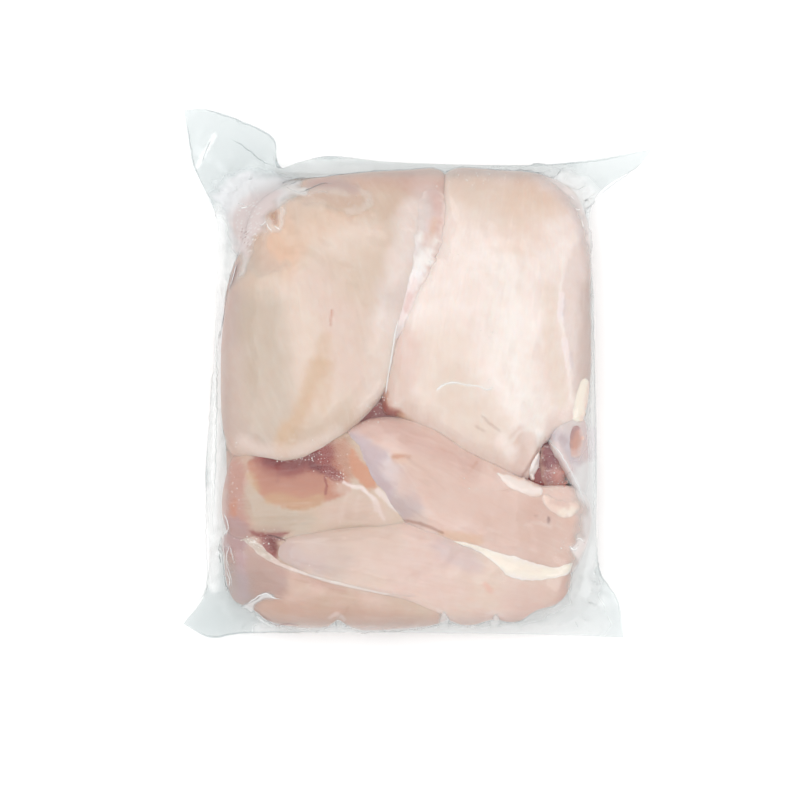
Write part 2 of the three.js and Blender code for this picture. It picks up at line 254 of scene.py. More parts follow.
# Marks on the shown side. A Mark follows a line: tone, strength, width, softness of the edge, points.
# A Patch fills an outline. fleck, if given, breaks either up into specks of that size.
MARKS = {
    "breast_back_left": [
        Mark("oat", 0.7, 16, 22, [(-76, 44), (-58, 30), (-50, -6)]),
        Mark("grey_pink", 0.7, 8, 22, [(-122, 70), (-121, 24), (-118, -26)]),
        Mark("khaki", 0.65, 12, 16, [(-96, 34), (-92, 0), (-88, -34)]),
        Mark("peach", 0.3, 4, 10, [(-92, 74), (-88, 66), (-80, 60)]),
        Mark("rose_deep", 0.3, 3, 5, [(-93, 84), (-91.5, 76), (-87, 68)]),
        Mark("grey_pink", 0.5, 8, 12, [(-112, -40), (-96, -48)]),
        Mark("beige", 0.75, 14, 18, [(-84, 106), (-50, 108), (-14, 106)]),
        Mark("rose_deep", 0.3, 4, 14, [(-61, 119), (-30, 121), (0, 120), (14, 118)]),
        Mark("peach", 0.9, 8, 14, [(-92, 92), (-88, 78), (-82, 70)]),
        Mark("peach", 0.35, 6, 12, [(-70, 84), (-56, 92), (-40, 104)]),
        Mark("rose", 0.45, 10, 16, [(-46, 30), (-42, 0)]),
        Mark("rose", 0.4, 7, 12, [(-62, 54), (-56, 40)]),
        Mark("tan", 0.5, 0.8, 6, [(-56.6, 20), (-60, 6)]),
        Mark("tan", 0.75, 2.4, 7.5, [(-61, 3), (-66, -12), (-75, -30), (-83, -46)]),
        Mark("tan", 0.4, 2, 5, [(-55, 4), (-58, -22)]),
        Mark("tan", 0.35, 3, 5, [(-82, -34), (-84, -48)]),
        Mark("membrane", 0.7, 8, 13, [(4, 108), (-3, 90), (-11, 61), (-19, 30)]),
        Mark("cream_pink", 0.4, 6, 10, [(-5, 96), (-9, 80), (-14, 62)]),
        Mark("rose_deep", 0.3, 6, 10, [(16, 114), (4, 113), (-6, 117)]),
        Mark("cream_pink", 0.6, 3, 14, [(-20, 30), (-24, 0), (-30, -20)]),
        Mark("rust", 0.5, 0.5, 0.9, [(-53.5, 36), (-54.5, 27)]),
        Mark("cream_pink", 0.5, 2, 7, [(-106, -44), (-86, -49), (-66, -46), (-50, -38)]),
        Mark("pearl", 0.5, 0.8, 1.4, [(-96, -50), (-82, -52), (-66, -49), (-52, -42)], 1.6),
        Mark("khaki", 0.5, 0.8, 3.0, [(-104, -54), (-86, -58), (-68, -56), (-54, -47)]),
        Mark("pearl", 0.8, 1.6, 1.6, [(-52, -43), (-44, -37), (-37, -31)], 2.0),
    ],
    "breast_back_right": [
        Mark("cream_warm", 0.7, 16, 22, [(10, 10), (14, -20), (30, -40)]),
        Mark("cream", 0.75, 12, 20, [(26, 114), (48, 104), (76, 112)]),
        Mark("beige", 0.3, 8, 14, [(30, 118), (60, 116)]),
        Mark("peach", 0.3, 8, 16, [(58, 102), (66, 90), (58, 78)]),
        Mark("peach", 0.25, 6, 12, [(72, 110), (80, 102)]),
        Mark("pearl", 0.7, 6, 9, [(80, 118), (90, 111), (98, 101), (102, 88)]),
        Mark("cream", 0.5, 14, 16, [(20, -10), (36, -30), (50, -48)]),
        Mark("white", 0.6, 6, 15, [(50, 60), (51, 40), (54, 14), (60, -12), (68, -32)]),
        Mark("white", 0.6, 0.7, 2.4, [(50, 36), (52, 20), (56, -2), (61, -18)]),
        Patch("dawn", 0.65, 4, [(86, 58), (84.6, 35), (86.6, 23), (88.4, 8), (90.4, -5), (92, -16),
            (98, -18), (110, 0), (110, 96), (104, 88), (94, 76)]),
        Mark("cream_warm", 0.6, 5, 6, [(79, 46), (78, 20), (82, -4), (84, -18)]),
        Mark("white", 0.7, 0.7, 1.2, [(86.6, 72), (86.3, 57), (84.5, 51.2), (84.2, 42)]),
        Mark("shell", 1.0, 2.6, 1.0, [(85, 46), (84.4, 40), (84.2, 34), (85, 29)]),
        Mark("blossom", 1.0, 0.9, 0.8, [(84.6, 30), (85.8, 25), (86.6, 19)]),
        Mark("shell", 1.0, 2.8, 1.0, [(86.5, 18), (87.4, 13), (88.3, 8), (88.6, 2)]),
        Mark("blossom", 0.95, 0.9, 1.0, [(88.2, 5), (89, -3), (89.9, -8), (90.2, -17)]),
        Mark("veil", 0.3, 0.8, 1.6, [(86.6, 42), (86.6, 34)]),
        Mark("veil", 0.35, 0.8, 1.6, [(90.6, 10), (90.8, 2)]),
        Mark("grey_pink", 0.6, 5, 9, [(104, 50), (102, 20), (100, -8)]),
        Mark("petal", 0.8, 6, 10, [(-10, 20), (-10, 4), (-13, -10)]),
        Mark("cream_dull", 0.5, 3, 9, [(-18, 2), (-14, -14), (-6, -22)]),
        Mark("white", 0.5, 0.5, 1.0, [(10, -13), (14, -9), (20, -8), (28, -9.5), (36, -10.5), (42, -12)]),
        Mark("rose", 0.6, 4, 12, [(-18, -14), (0, -32), (24, -46), (44, -58)]),
        Mark("rose", 0.5, 6, 9, [(82, -34), (92, -30)]),
        Mark("veil", 0.6, 2.5, 4, [(82, -39), (88, -38)]),
        Patch("orange", 0.8, 4, [(-25, -11), (-20, -12), (-18.6, -19), (-16, -23), (-10.5, -25), (-10, -29),
            (-22, -29), (-28, -24)]),
        Mark("claret", 0.85, 2.2, 3.4, [(-24, -18), (-22, -23), (-14, -28)]),
        Mark("mauve", 0.5, 2, 4, [(-24, -8), (-24, -14)]),
        Mark("brown", 0.5, 0.8, 1.8, [(-14, -28), (-1, -33.5), (14, -42)]),
        Mark("tan", 0.6, 1.6, 3, [(-12, -28), (6, -38), (24, -49), (40, -59)]),
        Mark("brown", 0.3, 0.5, 1.0, [(37, -28), (42, -33), (47, -37)]),
        Mark("brown", 0.25, 0.4, 1.0, [(33, -34), (38, -37)]),
        Mark("rose", 0.7, 12, 5, [(62, -44), (61, -56)]),
        Mark("mauve", 0.3, 4, 4, [(57, -64), (62, -66)]),
        Mark("blossom", 0.7, 3, 6, [(48, -43), (54, -50)]),
        Mark("brown", 0.6, 0.6, 1.2, [(72, -44.5), (68, -53), (61, -64)]),
        Mark("white", 0.5, 0.6, 1.4, [(55, -43), (59, -38), (66, -35)]),
        Mark("white", 1.0, 3.2, 1.6, [(66.6, -34.4), (70, -35.6), (71.6, -38), (72, -43)]),
        Mark("rose", 0.35, 4, 10, [(-2, 10), (-6, -4)]),
    ],
    "breast_middle_right": [
        Mark("rose_deep", 0.5, 5, 9, [(-34, -32), (-14, -36), (8, -50), (30, -60)]),
        Mark("claret", 0.7, 1.0, 3, [(-38, -30), (-28, -26.5), (-20, -26)]),
        Patch("lilac", 0.85, 6, [(-42, -37), (-27, -44), (-16.7, -53), (-6.4, -63), (-1, -73), (0, -84),
            (-9, -90), (-24, -84), (-34, -70), (-44, -52)]),
        Mark("grey_pink", 0.45, 6, 7, [(-12, -76), (-2, -92)]),
        Mark("pearl", 0.5, 3, 6, [(-20, -58), (-10, -70)]),
        Mark("pearl", 0.6, 0.6, 1.4, [(-34, -66), (-24, -77), (-14, -86)]),
        Mark("white", 0.5, 0.3, 1.0, [(-20, -50), (-12.8, -56.2), (-5.4, -66), (-2.5, -72)]),
        Mark("peach", 0.6, 3, 4, [(-15, -53), (-6, -54), (2, -62)]),
        Mark("orange", 0.7, 0.9, 1.6, [(-16.7, -52.6), (-11, -51.6), (-6.4, -52)]),
        Mark("brown", 0.55, 0.45, 1.0, [(-7, -53), (-2, -57.4), (4, -62), (9, -66.4), (14.2, -71)]),
        Mark("orange", 0.25, 0.4, 1.2, [(15.5, -71.7), (23, -67), (29.6, -61.3), (33.4, -55)]),
        Mark("orange", 0.2, 0.6, 1.6, [(44, -60), (56, -65), (64, -67), (73, -69)]),
        Mark("rose_deep", 0.25, 6, 9, [(68, -86), (74, -94), (66, -104)]),
        Mark("petal", 0.7, 5, 6, [(52, -64), (62, -67), (70, -70)]),
        Mark("wine", 0.85, 1.0, 0.9, [(76.3, -89), (76.3, -91.6)]),
        Mark("brown", 0.45, 0.6, 0.9, [(68, -87.6), (69, -88)]),
        Mark("white", 0.4, 0.6, 1.4, [(62, -93), (68, -91.5), (78, -94)]),
        Mark("rose", 0.4, 8, 9, [(72, -96), (84, -98), (90, -104)]),
        Mark("peach", 0.7, 2.4, 3, [(13, -98.6), (24, -100.4), (35, -102)]),
        Mark("brown", 0.5, 0.6, 1.2, [(-13, -90), (-6, -91), (0, -92.4), (7, -95), (13, -97.6)]),
        Mark("rose", 0.5, 6, 10, [(66, -110), (88, -112)]),
        Mark("rose_warm", 0.85, 14, 14, [(0, -64), (30, -78), (54, -92)]),
    ],
    "breast_middle_left": [
        Mark("rose_deep", 0.95, 9, 9, [(-112, -58), (-113, -80), (-111, -98)]),
        Mark("khaki", 0.6, 8, 9, [(-98, -78), (-92, -87), (-72, -91)]),
        Patch("clay", 0.9, 3.0, [(-103, -54), (-101.6, -64), (-98, -71.3), (-90.6, -78), (-83.9, -82),
            (-77, -83.2), (-67, -81.8), (-57, -79.4), (-50.4, -76.7), (-42, -72.6), (-44, -64), (-50, -54),
            (-60, -46), (-80, -50)]),
        Mark("sand", 0.45, 4, 6, [(-47, -69), (-43, -72)]),
        Mark("ochre", 0.6, 3, 4, [(-90, -76), (-77, -80), (-60, -77.6)]),
        Mark("ochre", 0.5, 2, 3, [(-102, -64), (-98, -70)]),
        Mark("salmon", 0.6, 5, 7, [(-93, -62), (-80, -66), (-64, -66)]),
        # dark tissue in the recess under the back left fillet's lower edge, with painted shade from that
        # edge over it
        Patch("claret", 0.92, 7, [(-101, -48), (-97.5, -56), (-93, -60.5), (-85, -63.2), (-76, -63),
            (-67, -61.5), (-62, -63), (-55.5, -63), (-51, -58), (-50, -52), (-52, -43), (-60, -42),
            (-80, -48)]),
        Mark("garnet", 0.6, 2.0, 4.0, [(-92, -53.6), (-86, -55), (-78, -55.6), (-70, -54), (-63, -50)]),
        Mark("garnet", 0.75, 2.2, 3.5, [(-64, -57), (-59, -60), (-53, -62)]),
        Patch("umber", 0.65, 8, [(-52, -44), (-46, -40), (-43, -44), (-42, -50), (-42, -56), (-40, -61),
            (-44, -65.4), (-48, -62), (-51, -56), (-51.5, -51)]),
        Patch("coral", 0.7, 3.4, [(-41.6, -47), (-38.6, -50), (-35, -54.6), (-30, -59), (-27, -61.5),
            (-25.6, -66), (-26.6, -70), (-31.4, -71.4), (-35, -69.6), (-38.4, -66), (-41.6, -60),
            (-43, -53.4)]),
        Patch("claret", 0.75, 2.5, [(-59, -59), (-52, -59), (-48, -61), (-47, -65), (-54, -66),
            (-59, -63)]),
        Patch("pearl", 0.3, 2.0, [(-58, -60), (-52, -59), (-46, -59), (-47, -66), (-54, -67), (-58, -64)],
            1.3),
        Mark("claret", 0.7, 0.35, 1.1, [(-57.8, -65), (-56.4, -69.4), (-56.9, -74)]),
        Mark("maroon", 0.4, 0.5, 1.0, [(-85, -62), (-86, -67)]),
        Mark("pearl", 0.45, 0.8, 1.4, [(-92, -52), (-80, -54), (-70, -52.6), (-62, -49), (-54, -44)], 1.3),
        Mark("pearl", 0.85, 0.6, 1.3, [(-46.4, -66.8), (-41.7, -69.5), (-36.4, -70.4), (-30.4, -75),
            (-26.3, -79.4), (-24.3, -85.4), (-22.3, -89.5)]),
        Mark("pearl", 0.7, 0.5, 1.6, [(-41, -70), (-34, -72.4), (-29, -78), (-26.6, -85)]),
        Mark("pearl", 0.8, 1.2, 1.8, [(-26, -72), (-20, -78.5), (-14, -84)]),
        Mark("cream_pink", 0.18, 0.6, 2, [(-44, -74), (-48, -90)]),
        Mark("cream_pink", 0.15, 0.6, 2, [(-37, -76), (-40, -90)]),
        Mark("rose", 0.5, 6, 8, [(-52, -86), (-34, -84), (-26, -88)]),
        Mark("coral", 0.4, 1.2, 3.4, [(-112.8, -80), (-112.6, -88)]),
        Patch("dusk", 0.85, 5, [(-121, -88), (-112, -88), (-106, -93), (-104, -97), (-108, -104),
            (-121, -106)]),
        Patch("fawn", 0.5, 5, [(-118, -92), (-104, -94), (-92, -95), (-84, -94), (-84, -104),
            (-118, -104)]),
        Patch("claret", 0.85, 2.6, LEFT_GAP),
        Patch("pearl", 0.12, 2.0, LEFT_GAP, 1.2),
    ],
    "breast_front": [
        Mark("rose", 0.6, 18, 12, [(-72, -107), (-40, -108), (-4, -112)]),
        Mark("brown", 0.35, 0.4, 1.6, [(-83, -100.4), (-75, -97.6), (-60, -95), (-42, -92.8), (-25, -91),
            (-13, -89)]),
        Mark("grey_pink", 0.45, 14, 10, [(-76, -109), (-52, -112)]),
        Mark("lilac", 0.3, 3, 8, [(-84, -107), (-74, -114), (-62, -118)]),
        Mark("pearl", 0.6, 0.8, 1.4, [(-84.6, -102.6), (-86, -107), (-86, -112)]),
        Mark("beige", 0.3, 8, 12, [(-50, -100), (-20, -100)]),
        Mark("blush", 0.5, 0.8, 2.2, [(38, -128), (42, -132)]),
        Mark("lilac", 0.4, 5, 8, [(12, -106), (30, -116)]),
        Mark("rose", 0.5, 6, 10, [(60, -136), (80, -132)]),
        Mark("rose_deep", 0.4, 2.5, 5, [(88, -124), (86, -138)]),
        Mark("pearl", 0.5, 0.8, 1.4, [(10, -143), (14.4, -146), (16, -149)]),
        Mark("pearl", 0.5, 0.8, 1.4, [(40, -146), (44, -145), (49, -147)]),
        Mark("brown", 0.45, 0.5, 1.2, [(47, -149), (54, -151), (61, -150)]),
    ],
    "breast_front_edge": [
        Patch("fawn", 0.85, 8, [(-120, -98), (-108, -104), (-96, -110), (-86, -116), (-78, -123),
            (-80, -134), (-90, -139), (-104, -141), (-118, -138)]),
        Patch("dusk", 0.8, 4, [(-121, -96), (-112, -94), (-106, -97), (-103, -103), (-106, -108),
            (-121, -108)]),
        Mark("heather", 0.75, 3, 4, [(-108, -112), (-107.4, -124), (-107, -135)]),
        Mark("terracotta", 0.55, 9, 8, [(-84, -144), (-50, -147), (-10, -149)]),
        Mark("cream_warm", 0.3, 5, 8, [(-30, -138), (10, -140)]),
        Patch("claret", 0.9, 2.2, LEFT_GAP),
        Mark("garnet", 0.7, 3, 3, [(-90.6, -100), (-88.6, -105)]),
        Patch("pearl", 0.12, 2.0, LEFT_GAP, 1.2),
        Mark("rose_deep", 0.4, 1.4, 3, [(-94, -114), (-84, -120), (-66, -126), (-46, -131)]),
        Mark("pearl", 0.5, 0.8, 1.4, [(-54, -148), (-50, -146), (-46, -149)]),
        Mark("brown", 0.4, 0.5, 1.0, [(-100, -143), (-95, -147), (-86, -151), (-74, -152.5)]),
    ],
    "breast_side_right": [
        Mark("veil", 0.7, 5, 7, [(82, -40), (87, -47), (90, -54)]),
        Mark("rose", 0.5, 2, 4, [(80, -46), (86, -56), (92, -66)]),
        Mark("mauve", 0.5, 1.4, 3, [(84, -40), (86.6, -43)]),
        Mark("pearl", 0.7, 1.2, 2.4, [(80, -44), (88, -57), (97, -72)]),
    ],
    "tissue_between": [
        Mark("rose_deep", 0.6, 8, 12, [(8, 116), (11, 106)]),
        Mark("blush", 0.25, 4, 8, [(12, 102), (11, 92)]),
        Mark("grey_pink", 0.5, 4, 8, [(-2, 102), (-2, 90)]),
        Mark("blush", 0.4, 4, 5, [(11, 91), (9.6, 84), (7, 78)]),
        Mark("orange", 0.35, 2.4, 3, [(10, 89), (9, 83), (6.6, 78), (4.6, 75)]),
        Mark("peach", 0.5, 1.0, 2, [(9, 93), (7.4, 86), (5, 80)]),
        Mark("white", 0.85, 2.6, 2.4, [(-0.5, 81), (-3.5, 79)]),
        Mark("white", 0.9, 6, 5, [(13, 79), (9, 71), (5, 64)]),
        Mark("white", 0.8, 5, 5, [(4, 68), (-4, 57)]),
        Mark("petal", 0.4, 1.0, 2, [(6, 74), (2, 66), (-2, 60)]),
        Mark("shell", 1.0, 7, 5, [(-3, 56), (-7, 46), (-12, 34)]),
        # painted light: a painted highlight lifts the tissue's steep side out of its shade
        Mark("painted_highlight", 0.3, 4, 6, [(9, 72), (-3, 56), (-7, 46), (-12, 34)]),
        Mark("blush", 0.26, 2.2, 4.5, [(-4.6, 54), (-7, 42), (-11, 32)]),
        Mark("red", 0.3, 1.4, 3, [(-6.8, 45), (-8, 38)]),
        Mark("pearl", 0.6, 1.2, 2, [(-8.6, 52), (-11.5, 42), (-13, 35)]),
    ],
    "tendon_front": [
        Mark("khaki", 0.7, 4, 5, [(-108, -101), (-100, -104), (-92, -111)]),
        Mark("cream_pink", 0.7, 3, 4, [(-74, -120), (-60, -124.6), (-40, -130), (-22, -133.6)]),
        Mark("white", 0.9, 5, 3, [(-107, -101), (-100, -103), (-94, -109)], 1.1),
        Mark("white", 0.8, 1.6, 2, [(-66, -123), (-56, -126), (-44, -129)], 1.6),
    ],
    "fat_front": [
        Mark("fat_pink", 0.2, 1.0, 2.6, [(44, -112), (56, -118), (70, -120)]),
        Mark("rose", 0.6, 1.2, 2.4, [(60, -127), (76, -127)]),
    ],
    "fat_middle_round": [
        Mark("fat", 0.7, 3, 4, [(84, -87), (92, -86)]),
        Mark("blush", 0.4, 2.4, 2.4, [(82, -77), (86, -79)]),
        Mark("rose_deep", 0.3, 0.8, 2, [(78, -79), (88, -82)]),
    ],
    "tip_side": [
        Mark("amber", 0.85, 3.0, 4, [(92.2, -39), (92.2, -47)]),
        Mark("blush", 0.7, 3, 3, [(96, -33), (97, -36)]),
        Mark("maroon", 0.75, 1.2, 2.6, [(95, -34), (91, -36.4), (88.6, -42), (88.4, -47)]),
        Mark("petal", 0.6, 3, 3, [(91, -50), (96, -53)]),
        Mark("membrane", 0.8, 1.4, 3.4, [(98.4, -33), (99.2, -42), (98, -52)]),
        Mark("peach", 0.6, 0.8, 1.4, [(91.4, -40), (94, -40)], 1.8),
    ],
    "meat_in_gap": [
        Mark("maroon", 0.5, 4, 6, [(75, -48), (76.4, -54), (77, -60)]),
        Mark("garnet", 0.45, 2.4, 3, [(73.6, -53), (75.4, -58)]),
        Mark("blush", 0.6, 5, 6, [(84, -62), (87, -71)]),
        Mark("petal", 0.7, 3, 5, [(94, -74), (90, -79)]),
        Mark("pearl", 0.5, 6, 4, [(74, -44), (78, -48)], 1.3),
        Mark("pearl", 0.45, 5, 4, [(75, -62), (81, -67)], 1.3),
    ],
    "breast_under_left": [
        Mark("white", 0.7, 0.8, 1.6, [(-98, -120), (-84, -70), (-80, -20), (-70, 14)]),
        Mark("peach", 0.5, 14, 16, [(-50, -110), (-40, -80)]),
        Mark("lilac", 0.6, 6, 8, [(-104, 4), (-84, -6)]),
        Mark("rose_deep", 0.5, 4, 8, [(-14, -110), (-12, -40), (-26, 10)]),
    ],
    "breast_under_right": [
        Mark("white", 0.6, 4, 12, [(44, -120), (50, -60), (46, -10)]),
        Mark("white", 0.8, 0.8, 1.6, [(46, -110), (52, -60), (48, -20)]),
        Mark("peach", 0.5, 10, 14, [(80, -110), (84, -80)]),
        Mark("orange", 0.4, 3, 6, [(96, -20), (84, 8)]),
        Mark("rose_deep", 0.45, 4, 8, [(-10, -110), (-12, -50), (-4, -4)]),
    ],
    "breast_under_middle": [
        Mark("lilac", 0.8, 7, 6, [(-100, 40), (-70, 36), (-40, 30)]),
        Mark("white", 0.7, 0.8, 1.6, [(-96, 66), (-40, 58), (20, 50), (80, 54)]),
        Mark("rose_deep", 0.5, 6, 9, [(0, 12), (50, 16), (90, 26)]),
        Mark("tan", 0.4, 5, 8, [(40, 66), (76, 62)]),
    ],
    "breast_under_back": [
        Mark("rose", 0.5, 8, 12, [(-90, 100), (-60, 104)]),
        Mark("white", 0.7, 0.8, 1.6, [(-60, 112), (0, 106), (60, 110)]),
        Mark("peach", 0.4, 8, 10, [(30, 90), (60, 88)]),
        Mark("rose_deep", 0.4, 3, 6, [(-100, 86), (-40, 84), (40, 80)]),
    ],
}

# Fat, tendon and loose tissue lying on the fillets: tone, the line each follows, its width along
# that line from end to end, and how proud of the meat it stands.
Strip = namedtuple("Strip", "tone edge_tone points widths proud")
FAT = {
    "fat_front": Strip("fat", "blossom", [(19.5, -102.6), (28, -104.8), (36, -107.6), (44, -111.8),
        (52, -116.4), (62, -119.8), (72, -121), (80, -120.8), (86, -119), (91, -115.4)],
        (1.2, 2.6, 4, 8.5, 11.5, 13, 11.5, 9, 7.5, 4.5), 0.9),
    "fat_middle_long": Strip("cream_pink", "fat_pink", [(45.5, -61.8), (52, -66.2), (58, -69.4),
        (65, -71.6), (73, -73.4)], (1.5, 7, 10.4, 10.6, 6.5), 0.9),
    "fat_middle_round": Strip("fat_pink", "rose", [(73, -75), (78, -80.5), (85, -83.5), (91, -82),
        (95, -79)], (5, 10, 13, 11, 6), 0.6),
    "fat_side": Strip("fat", "fat_pink", [(100, -4), (97.4, -12), (95.2, -20), (94, -31)],
        (4.5, 8.5, 10, 9.5, 8), 1.0),
    "tissue_side": Strip("blossom", "pearl", [(71.6, -49), (69, -56), (67, -62), (68, -66)],
        (1.5, 4, 5.5, 4, 2), 2.4),
    "tissue_between": Strip("membrane", "petal", [(8, 114), (6, 100), (4.5, 88), (2, 76), (-1, 64),
        (-5, 51), (-8.6, 38), (-12, 28), (-16, 17)], (14, 21, 22, 21, 17, 12, 9, 6, 2), 0.8),
}
TENDONS = {
    "tendon_front": Strip("rose", "petal", [(-109.6, -102), (-103.6, -102), (-97.8, -106.6), (-92.8, -111),
        (-84.8, -115.8), (-72.4, -120.6), (-60.6, -124.4), (-43, -129), (-31.3, -131.6), (-21.5, -133.6),
        (-1.9, -135.4)], (4.0, 7.0, 4.6, 2.6, 2.2, 2.3, 2.3, 2.1, 1.7, 1.1, 0.4), 0.3),
    "tendon_between": Strip("white", "pearl", [(-13.4, 31), (-15, 24), (-17.5, 8), (-20, -6), (-21, -14)],
        (0.6, 1.4, 1.4, 1.2, 0.8), 0.4),
    "tendon_curved": Strip("white", "blossom", [(9.3, -12.6), (14, -9.2), (20, -7.8), (27, -9.3), (34, -10),
        (40.5, -12.3), (43.3, -10.6)], (1.6, 0.9, 1.1, 0.7, 1.0, 0.8, 1.0), 0.3),
}

# Small pieces of meat in the gap at the pack's right side.
MEAT_BITS = {
    "meat_in_gap": Strip("cherry", "rose_deep", [(76, -44), (78, -51), (80, -60), (83.4, -66), (87, -70)],
        (8, 13, 16, 17, 11), 2.6),
    "tip_side": Strip("rose_warm", "petal", [(94.4, -33), (93, -40), (92.4, -46), (93, -52.6)],
        (6, 11, 12, 11, 6), 0.9),
}

SHOWN = [*UPPER, "packed_heart", *FAT, *TENDONS, *MEAT_BITS]  # what lies right under the film

# Roundness of the fillets: powers of the crown and the underside, and where between them the fillet
# is widest.
UPPER_SHAPE = {"power": 4.4, "under_power": 3.6, "widest": 0.4}
LOWER_SHAPE = {"power": 3.6, "under_power": 4.6, "widest": 0.55}

# The pack's side: the middle and half sizes of its plan, and how far the crown and the underside
# bend towards its waist there.
SIDE = {"middle": (-8, -14), "half": (113, 138), "power": 8, "drop": 9.0, "rise": 8.0, "bend": 10,
        "furthest": 1.1}

# Lumps of the crown: how high they are and how far apart.
LUMPS = [(0.4, 42), (0.16, 15)]

# Bundles of fibres: how high, how far apart, how much slower they change along their length, and
# how much they draw together at the fillet's ends.
FIBRES = {"height": 0.06, "apart": 5.0, "along": 0.12, "gather": 0.5}

# Unevenness of the meat's colour: how far apart large and small patches are, the share of the small
# ones, and where the mix of the two base tones begins and ends.
PATCHES = {"large": 60, "small": 18, "share": 0.4, "from": -1.2, "to": 1.4}

# How a mark's edge strays: distance between bends, their reach, and the softness that has it all.
STRAYING = [(20, 1.4, 8), (4, 0.5, 3)]

# The wall between crown and underside is deeper in tone, and a pale tone on the pack's side is partly
# membrane and partly painted light that lifts its shade.
WALL = {"tone": "rose_deep", "share": 0.35, "from": 0.25, "to": 0.9}
MEMBRANE_AND_PAINTED_LIGHT = {"tone": "membrane", "share": 0.4, "from": 0.95, "to": 1.04}

# The juice-dark meat at the heart of the pack, which shows in the gaps between the fillets.
HEART = {"middle": (-11, -14), "half": (100, 122), "low": 6.0, "high": 35.0, "power": 5, "detail": 6,
         "lump": 0.8, "lumps_apart": 16, "bright": 0.8, "uneven": 0.15, "patches": 12}

# Strips of fat, tendon and meat: points along the line, unevenness of the width, how square the
# section is, how closely it follows the meat at its edges, and how deep it is sunk for its width.
STRIP = {"steps": 80, "smooth": 7, "uneven": 0.14, "uneven_apart": 7, "square": 2.2, "follow": 0.55,
         "sunk": 0.10, "widest": 11, "relief": 0.06, "relief_apart": 4, "ragged": 0.15,
         "ragged_apart": 5, "rim_from": 0.35}

# Bubbles: spread about their middle, usual radius with its unevenness and limit, how flat, how proud
# of the meat, and the lowest they lie.
BUBBLE = {"spread": 0.5, "radius": 0.26, "uneven": 0.38, "largest": 0.6, "flat": 0.7, "proud": 0.1,
          "lowest": 25}

# The bag's outer edge, as four runs from corner to corner, each point (x, y, z).
TIPS = {
    "mouth_left": (-144.3, 159.9, 46),
    "mouth_right": (145.6, 142.9, 18),
    "base_right": (125, -161, 7),
    "base_left": (-145.6, -152.6, 7),
}
BAG_EDGES = {
    "mouth": [TIPS["mouth_left"], (-131.8, 161, 44), (-110.9, 155.9, 38), (-89.9, 145.5, 30),
        (-88.8, 128.8, 26), (-74.7, 133, 24), (-58.6, 137.3, 22), (-18.7, 134.1, 20), (68.8, 132.2, 20),
        (106.4, 135.4, 20), TIPS["mouth_right"]],
    "right": [TIPS["mouth_right"], (137.9, 132.7, 18), (108.6, 109.9, 20), (107.5, 46.8, 22),
        (108.4, -46.4, 22), (109.6, -119.6, 18), (121.1, -137.9, 12), TIPS["base_right"]],
    "base": [TIPS["base_right"], (76.2, -159.1, 12), (-12.4, -157.8, 14), (-110.2, -158.5, 12),
        (-128.9, -161, 8), TIPS["base_left"]],
    "left": [TIPS["base_left"], (-130.8, -131.8, 16), (-131.3, -58.7, 22), (-127.6, -3.2, 22),
        (-126.4, 46.8, 22), (-126.8, 98.6, 22), (-139.7, 128, 36), (-140.9, 135.9, 42), TIPS["mouth_left"]],
}

# The film: how far it stays off the meat and the table, and how thick both sheets are where they cling.
# It is drawn tight in levels, each with twice the points, its own pressure and rounds of smoothing,
# from a dome over the pack and a dip under it.
FILM = {"gap": 0.6, "floor": 0.25, "ply": 0.3, "cling": 1.5, "across": 36, "along": 43, "levels": 4,
        "pressure": (1.0, 0.6, 0.16, 0.045), "rounds": (150, 110, 80, 50), "relax": 0.9,
        "largest_push": 3.0, "dome": 70, "dip": 40, "dip_from": 22, "round": 0.35}

# The film once it is tight: the height of its waist, rounds and strength of smoothing on the meat and
# off it, how far off the meat it counts as free, and how near the pack's side it is still lifted.
SETTLED = {"waist": 24, "rounds": 3, "smooth": 0.3, "free_rounds": 24, "free_smooth": 0.8,
           "free_from": 0.9, "free_to": 2.4, "lift_to": 0.92}

# Corners of the pack, where the film is slack: how far the slack reaches, and how much less the air
# presses there.
SLACK = {"corners": [(-110, 106), (102, 110), (100, -142), (-110, -142)], "reach": 24, "share": 0.7}

# How milky the film is on the wet meat, over the meat's outer edge and where it hangs free, and
# where the outer edge begins and ends, as pack_edge measures it. under is the share of the patches
# that the lower sheet has.
HAZE = {"held": 0.01, "edge": 0.28, "free": 0.46, "from": 0.93, "to": 1.03, "under": 0.3}

# Cloudiness of the film: the usual amount, how much it varies and how far apart, and its limits.
CLOUD = {"usual": 0.85, "patches": [(0.12, 24), (0.05, 7)], "least": 0.3, "most": 1.4}

# How the edge of a mark on the film strays: distance between bends, reach, and softness for each
# millimetre of it.
FILM_STRAYING = {"apart": 9, "reach": 1.2, "soft": 6}

# Short folds along each side of the bag: their size there, how far apart they are, how long, wide and
# high, and how they lean and bend.
FOLD_SIZES = {"mouth": 0.3, "right": 0.06, "base": 0.4, "left": 0.08}
SHORT_FOLDS = {"steps": 400, "ends": 12, "apart": (5, 20), "reach": (9, 26), "width": (0.9, 2.2),
               "rise": (0.3, 1.1), "lean": 0.45, "bend": 1.5}

# How a fold fades: the cells from the bag's edge, the widths at its ends and the share left there,
# and how far apart the two sheets lie where they fold apart and together.
FOLD_FADE = {"cells": 5, "ends": 4, "left": 0.25, "beside": 3, "apart": 4.0, "together": 0.6}

# Folds of the film: how far each stands out, its half width, and its line seen from above.
FOLDS = [
    Fold(1.2, 1.4, [(-130, 152), (-134, 146), (-138, 139)]),
    Fold(-0.8, 1.2, [(-126, 155), (-112, 149), (-99, 141), (-90, 135)]),
    Fold(1.0, 2.0, [(-120, 140), (-116, 120), (-110, 108)]),
    Fold(1.0, 1.6, [(-106, 128), (-104, 116), (-98, 106)]),
    Fold(-0.4, 1.4, [(-124, 96), (-124, 60), (-123, 20), (-124, -20), (-125, -70)]),
]
